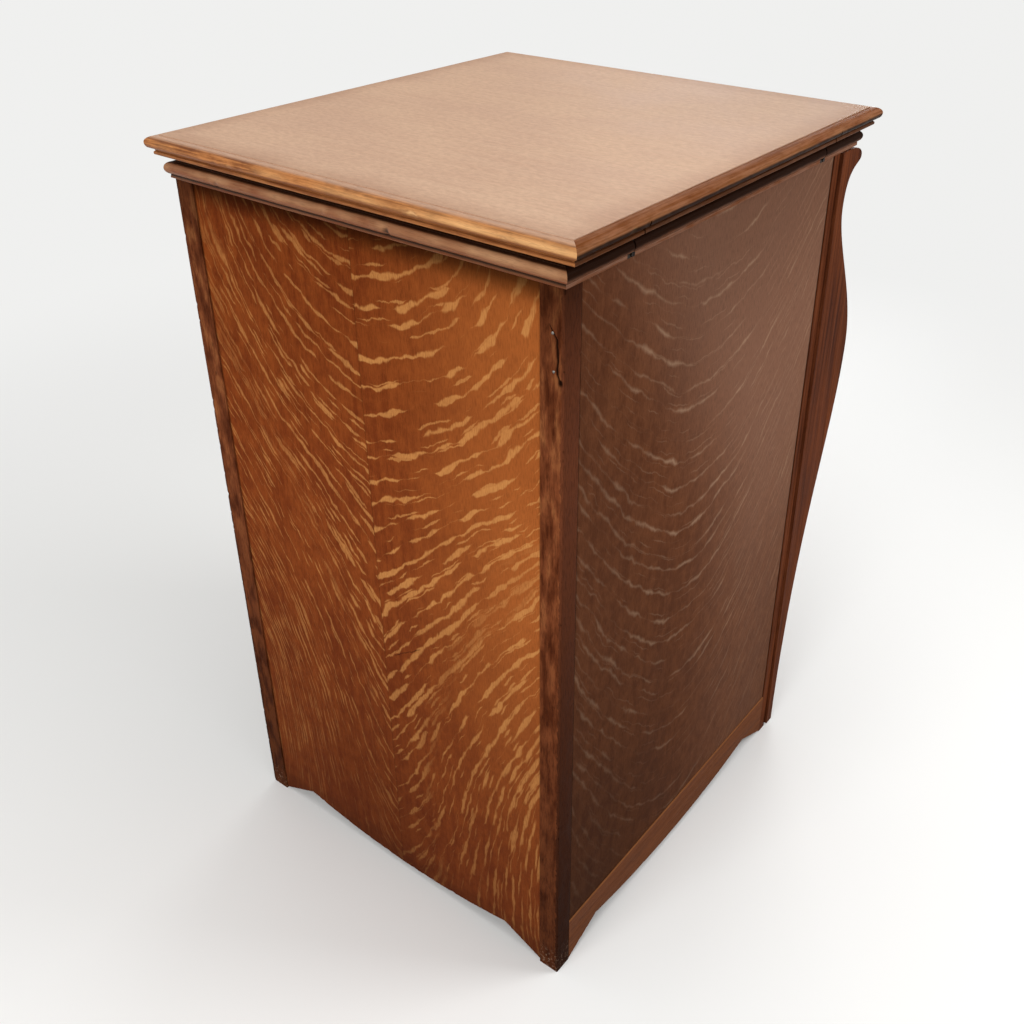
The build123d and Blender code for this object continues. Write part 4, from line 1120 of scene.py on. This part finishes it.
def heads(spots, normal, radius, proud, slot, seed):
    """Screw heads, or nail heads where the slot is 0: a low disc, and on it the two halves of a domed disc
    that a slot leaves, at a seeded angle. An outline is carried up its axis and drawn in to its middle."""
    normal = np.array(normal, float)
    first = np.array([normal[1], normal[2], normal[0]])
    second = np.cross(normal, first)
    rng = np.random.default_rng(seed)
    points, faces = [], []

    def carry(outline, levels, shares, spot):
        middle = outline.mean(0)
        grid = middle + (outline - middle)[None] * np.array(shares)[:, None, None]
        start = sum(len(p) for p in points)
        lift = np.repeat(np.array(levels)[:, None], len(outline), 1)
        placed = spot + grid[..., :1] * first + grid[..., 1:] * second + lift[..., None] * normal
        points.append(placed.reshape(-1, 3))
        faces.extend([[start + i for i in face] for face in tube_faces(*lift.shape)])

    for spot in np.array(spots, float):
        turn = rng.uniform(0, 180)
        base = proud * (0.35 if slot else 1.0)
        disc = arc((0, 0), (radius, radius), 0, 345, 24)
        carry(disc, [-0.6, base * 0.5, base], [1, 1, 0.9 if slot else 0.6], spot)
        if slot:
            gap = math.degrees(math.asin(slot / radius))
            for half in (turn, turn + 180):
                outline = arc((0, 0), (radius * 0.97, radius * 0.97), half + gap, half + 180 - gap, 14)
                carry(outline, [-0.5, base, proud * 0.75, proud], [1, 1, 0.96, 0.8], spot)
    return np.concatenate(points), faces


def fastenings():
    """Sets of screws and nails as name, spots, normal, (radius, height, half the slot), body and metal."""
    low, high = box_mm("lid_hinge_bed_plates")
    links = [(x, y) for y in (low[1] + 7.5, high[1] - 7.5) for x in (-201, -183)]
    under_lid = box_mm("lid_hinge_lid_plates")[0][2]
    flush = (2.6, 0.08, 0.35)
    yield "bed_link_screws", [(*s, high[2]) for s in links], (0, 0, 1), flush, "cabinet", "hinge_steel"
    yield "lid_link_screws", [(*s, under_lid) for s in links], (0, 0, -1), flush, "lid", "hinge_steel"

    low, high = box_mm("door_hinge_pins")
    leaf = ((201, -22), (209, 0), (201, 22))
    leaves = [(x, z + step) for z in (high[2] - 31.5, low[2] + 30) for x, step in leaf]
    on_post = [(x, box_mm("post_front_right")[0][1], z) for x, z in leaves]
    on_door = [(x, box_mm("door_stile_right")[1][1], z) for x, z in leaves]
    yield "hinge_post_screws", on_post, (0, -1, 0), (2.8, 0.1, 0.35), "cabinet", "aged_brass"
    yield "hinge_door_screws", on_door, (0, 1, 0), (2.8, 0.1, 0.35), "door", "aged_brass"

    low, high = box_mm("latch_strike")
    spots = [((low[0] + high[0]) / 2, high[1], z) for z in (low[2] + 5, high[2] - 5)]
    yield "strike_screws", spots, (0, 1, 0), (2.2, 0.12, 0.3), "cabinet", "aged_brass"

    low, high = box_mm("wheel_bracket")
    spots = [
        (high[0] - 7, y, z) for y in (low[1] + 10, high[1] - 10) for z in (low[2] + 12, high[2] - 12)
    ]
    yield "wheel_bracket_screws", spots, (-1, 0, 0), (4.6, 1.8, 0.6), "cabinet", "black_iron"

    low, high = box_mm("treadle_bracket_left")
    for side, way in (("left", 1), ("right", -1)):
        spots = [
            (way * (low[0] + 5), y, z) for y in (low[1] + 8, high[1] - 8) for z in (low[2] + 8, high[2] - 8)
        ]
        yield f"bracket_{side}_screws", spots, (way, 0, 0), (4.0, 1.6, 0.55), "cabinet", "black_iron"

    low, high = box_mm("head_hinge_plates")
    plate = ((0, 83), (-8, 103), (8, 103))
    spots = [(x + step, y, high[2]) for x in (low[0] + 15, high[0] - 15) for step, y in plate]
    yield "head_plate_screws", spots, (0, 0, 1), (2.8, 0.08, 0.35), "cabinet", "hinge_steel"

    spots = [(-202.5, 252.4, 699.1), (-203.6, 252.4, 669.2)]
    yield "post_nails", spots, (0, 1, 0), (1.1, 0.5, 0.0), "cabinet", "hinge_steel"


class SEWINGTABLE_OT_hardware(bpy.types.Operator):
    """Finish the hinges, catch, treadle, pitman and band wheel, and drive their screws and nails"""

    bl_idname = "sewing_table.hardware"
    bl_label = "Hardware"

    def execute(self, context):
        metals = {
            "aged_brass": worked_metal("aged_brass", "B08C4A", "77592B", 0.3, 0.46, 1.0, 13.0),
            "hinge_steel": worked_metal("hinge_steel", "85817B", "55504A", 0.34, 0.5, 1.0, 15.0),
            "black_iron": worked_metal("black_iron", "201E1C", "100F0E", 0.28, 0.42, 0.0, 25.0),
        }
        for slot, material in metals.items():
            dress(material, *(node for node in NODES if SLOTS[node] == slot))
        dress(worked_metal("link_steel", "2C2620", "17120F", 0.5, 0.65, 1.0, 8.0), *LINK_NODES)
        dress(turned_wood(), "pitman_rod")
        for number, (name, spots, normal, shape, body, metal) in enumerate(fastenings()):
            points, faces = heads(spots, normal, *shape, 700 + number)
            add_piece(name, points, faces, metals[metal], body)
        return {"FINISHED"}


class SEWINGTABLE_OT_stage(bpy.types.Operator):
    """Lay the pale floor, set the lamps and stand the camera where the picture was taken"""

    bl_idname = "sewing_table.stage"
    bl_label = "Stage"

    def execute(self, context):
        scene = context.scene
        scene.view_settings.view_transform = "Standard"
        make_floor(scene)
        make_world(scene)
        for lamp in LAMPS:
            make_lamp(scene, *lamp)
        make_camera(scene)
        return {"FINISHED"}


def make_floor(scene):
    """A flat pale sheet, wide enough to fill the picture. Far from the table it is seen as plain white."""
    reach = 15.0
    mesh = bpy.data.meshes.new("floor")
    corners = [(-reach, -reach, 0), (reach, -reach, 0), (reach, reach, 0), (-reach, reach, 0)]
    mesh.from_pydata(corners, [], [(0, 1, 2, 3)])
    floor = bpy.data.objects.new("floor", mesh)
    scene.collection.objects.link(floor)
    coat = Coat("pale_floor")
    x, y, _ = coat.place()
    far = (x * x + y * y).step("SQRT")
    coat.show(far.rise(500, 1900) * coat.looked_at(), coat.shader, coat.node("Emission", WHITE))
    coat.colour = FLOOR
    mesh.materials.append(coat.finish(0.5))


def make_world(scene):
    """Even pale light from all round, seen as the floor's white."""
    scene.world = bpy.data.worlds.new("soft_light")
    tree = Tree(scene.world, "OutputWorld")
    light = tree.node("Background", DAYLIGHT, 0.36)
    tree.show(tree.looked_at(), light, tree.node("Background", WHITE))


def make_lamp(scene, name, place, target, size, power):
    """A large square lamp turned to its target."""
    data = bpy.data.lights.new(name, "AREA")
    data.size = size
    data.energy = power
    lamp = bpy.data.objects.new(name, data)
    scene.collection.objects.link(lamp)
    lamp.location = place
    lamp.rotation_mode = "QUATERNION"
    lamp.rotation_quaternion = (Vector(target) - Vector(place)).to_track_quat("-Z", "Y")


def make_camera(scene):
    """Camera behind the table, to the sewer's left, looking down on it."""
    data = bpy.data.cameras.new("camera")
    data.sensor_width = 36.0
    data.lens = CAMERA_LENS
    data.shift_x, data.shift_y = CAMERA_SHIFT
    camera = bpy.data.objects.new("camera", data)
    scene.collection.objects.link(camera)
    place = Matrix.Translation(CAMERA_PLACE)
    for angle, axis in ((CAMERA_AZIMUTH, "Z"), (90 - CAMERA_ELEVATION, "X"), (CAMERA_ROLL, "Z")):
        place = place @ Matrix.Rotation(math.radians(angle), 4, axis)
    camera.matrix_world = place
    scene.camera = camera


class SEWINGTABLE_PT_panel(bpy.types.Panel):
    """Lists the steps that dress the table"""

    bl_idname = "SEWINGTABLE_PT_panel"
    bl_label = "Sewing Table"
    bl_space_type = "VIEW_3D"
    bl_region_type = "UI"
    bl_category = "Sewing Table"

    def draw(self, context):
        for operator in OPERATORS:
            self.layout.operator(operator.bl_idname)
        for name in GROUPS:
            group = getattr(context.scene, name)
            box = self.layout.box()
            for key in group.__annotations__:
                box.prop(group, key)


GROUPS = {"oak_colours": OakColours, "oak_grain": OakGrain, "wear_sizes": WearSizes}
OPERATORS = [
    SEWINGTABLE_OT_panels,
    SEWINGTABLE_OT_posts,
    SEWINGTABLE_OT_lid,
    SEWINGTABLE_OT_bed,
    SEWINGTABLE_OT_hardware,
    SEWINGTABLE_OT_stage,
]
CLASSES = [*GROUPS.values(), *OPERATORS, SEWINGTABLE_PT_panel]


def register():
    for item in CLASSES:
        bpy.utils.register_class(item)
    for name, group in GROUPS.items():
        setattr(bpy.types.Scene, name, bpy.props.PointerProperty(type=group))


def unregister():
    for name in GROUPS:
        delattr(bpy.types.Scene, name)
    for item in reversed(CLASSES):
        bpy.utils.unregister_class(item)


def main():
    register()
    bpy.ops.sewing_table.panels()
    bpy.ops.sewing_table.posts()
    bpy.ops.sewing_table.lid()
    bpy.ops.sewing_table.bed()
    bpy.ops.sewing_table.hardware()
    bpy.ops.sewing_table.stage()


if __name__ == "__main__":
    main()
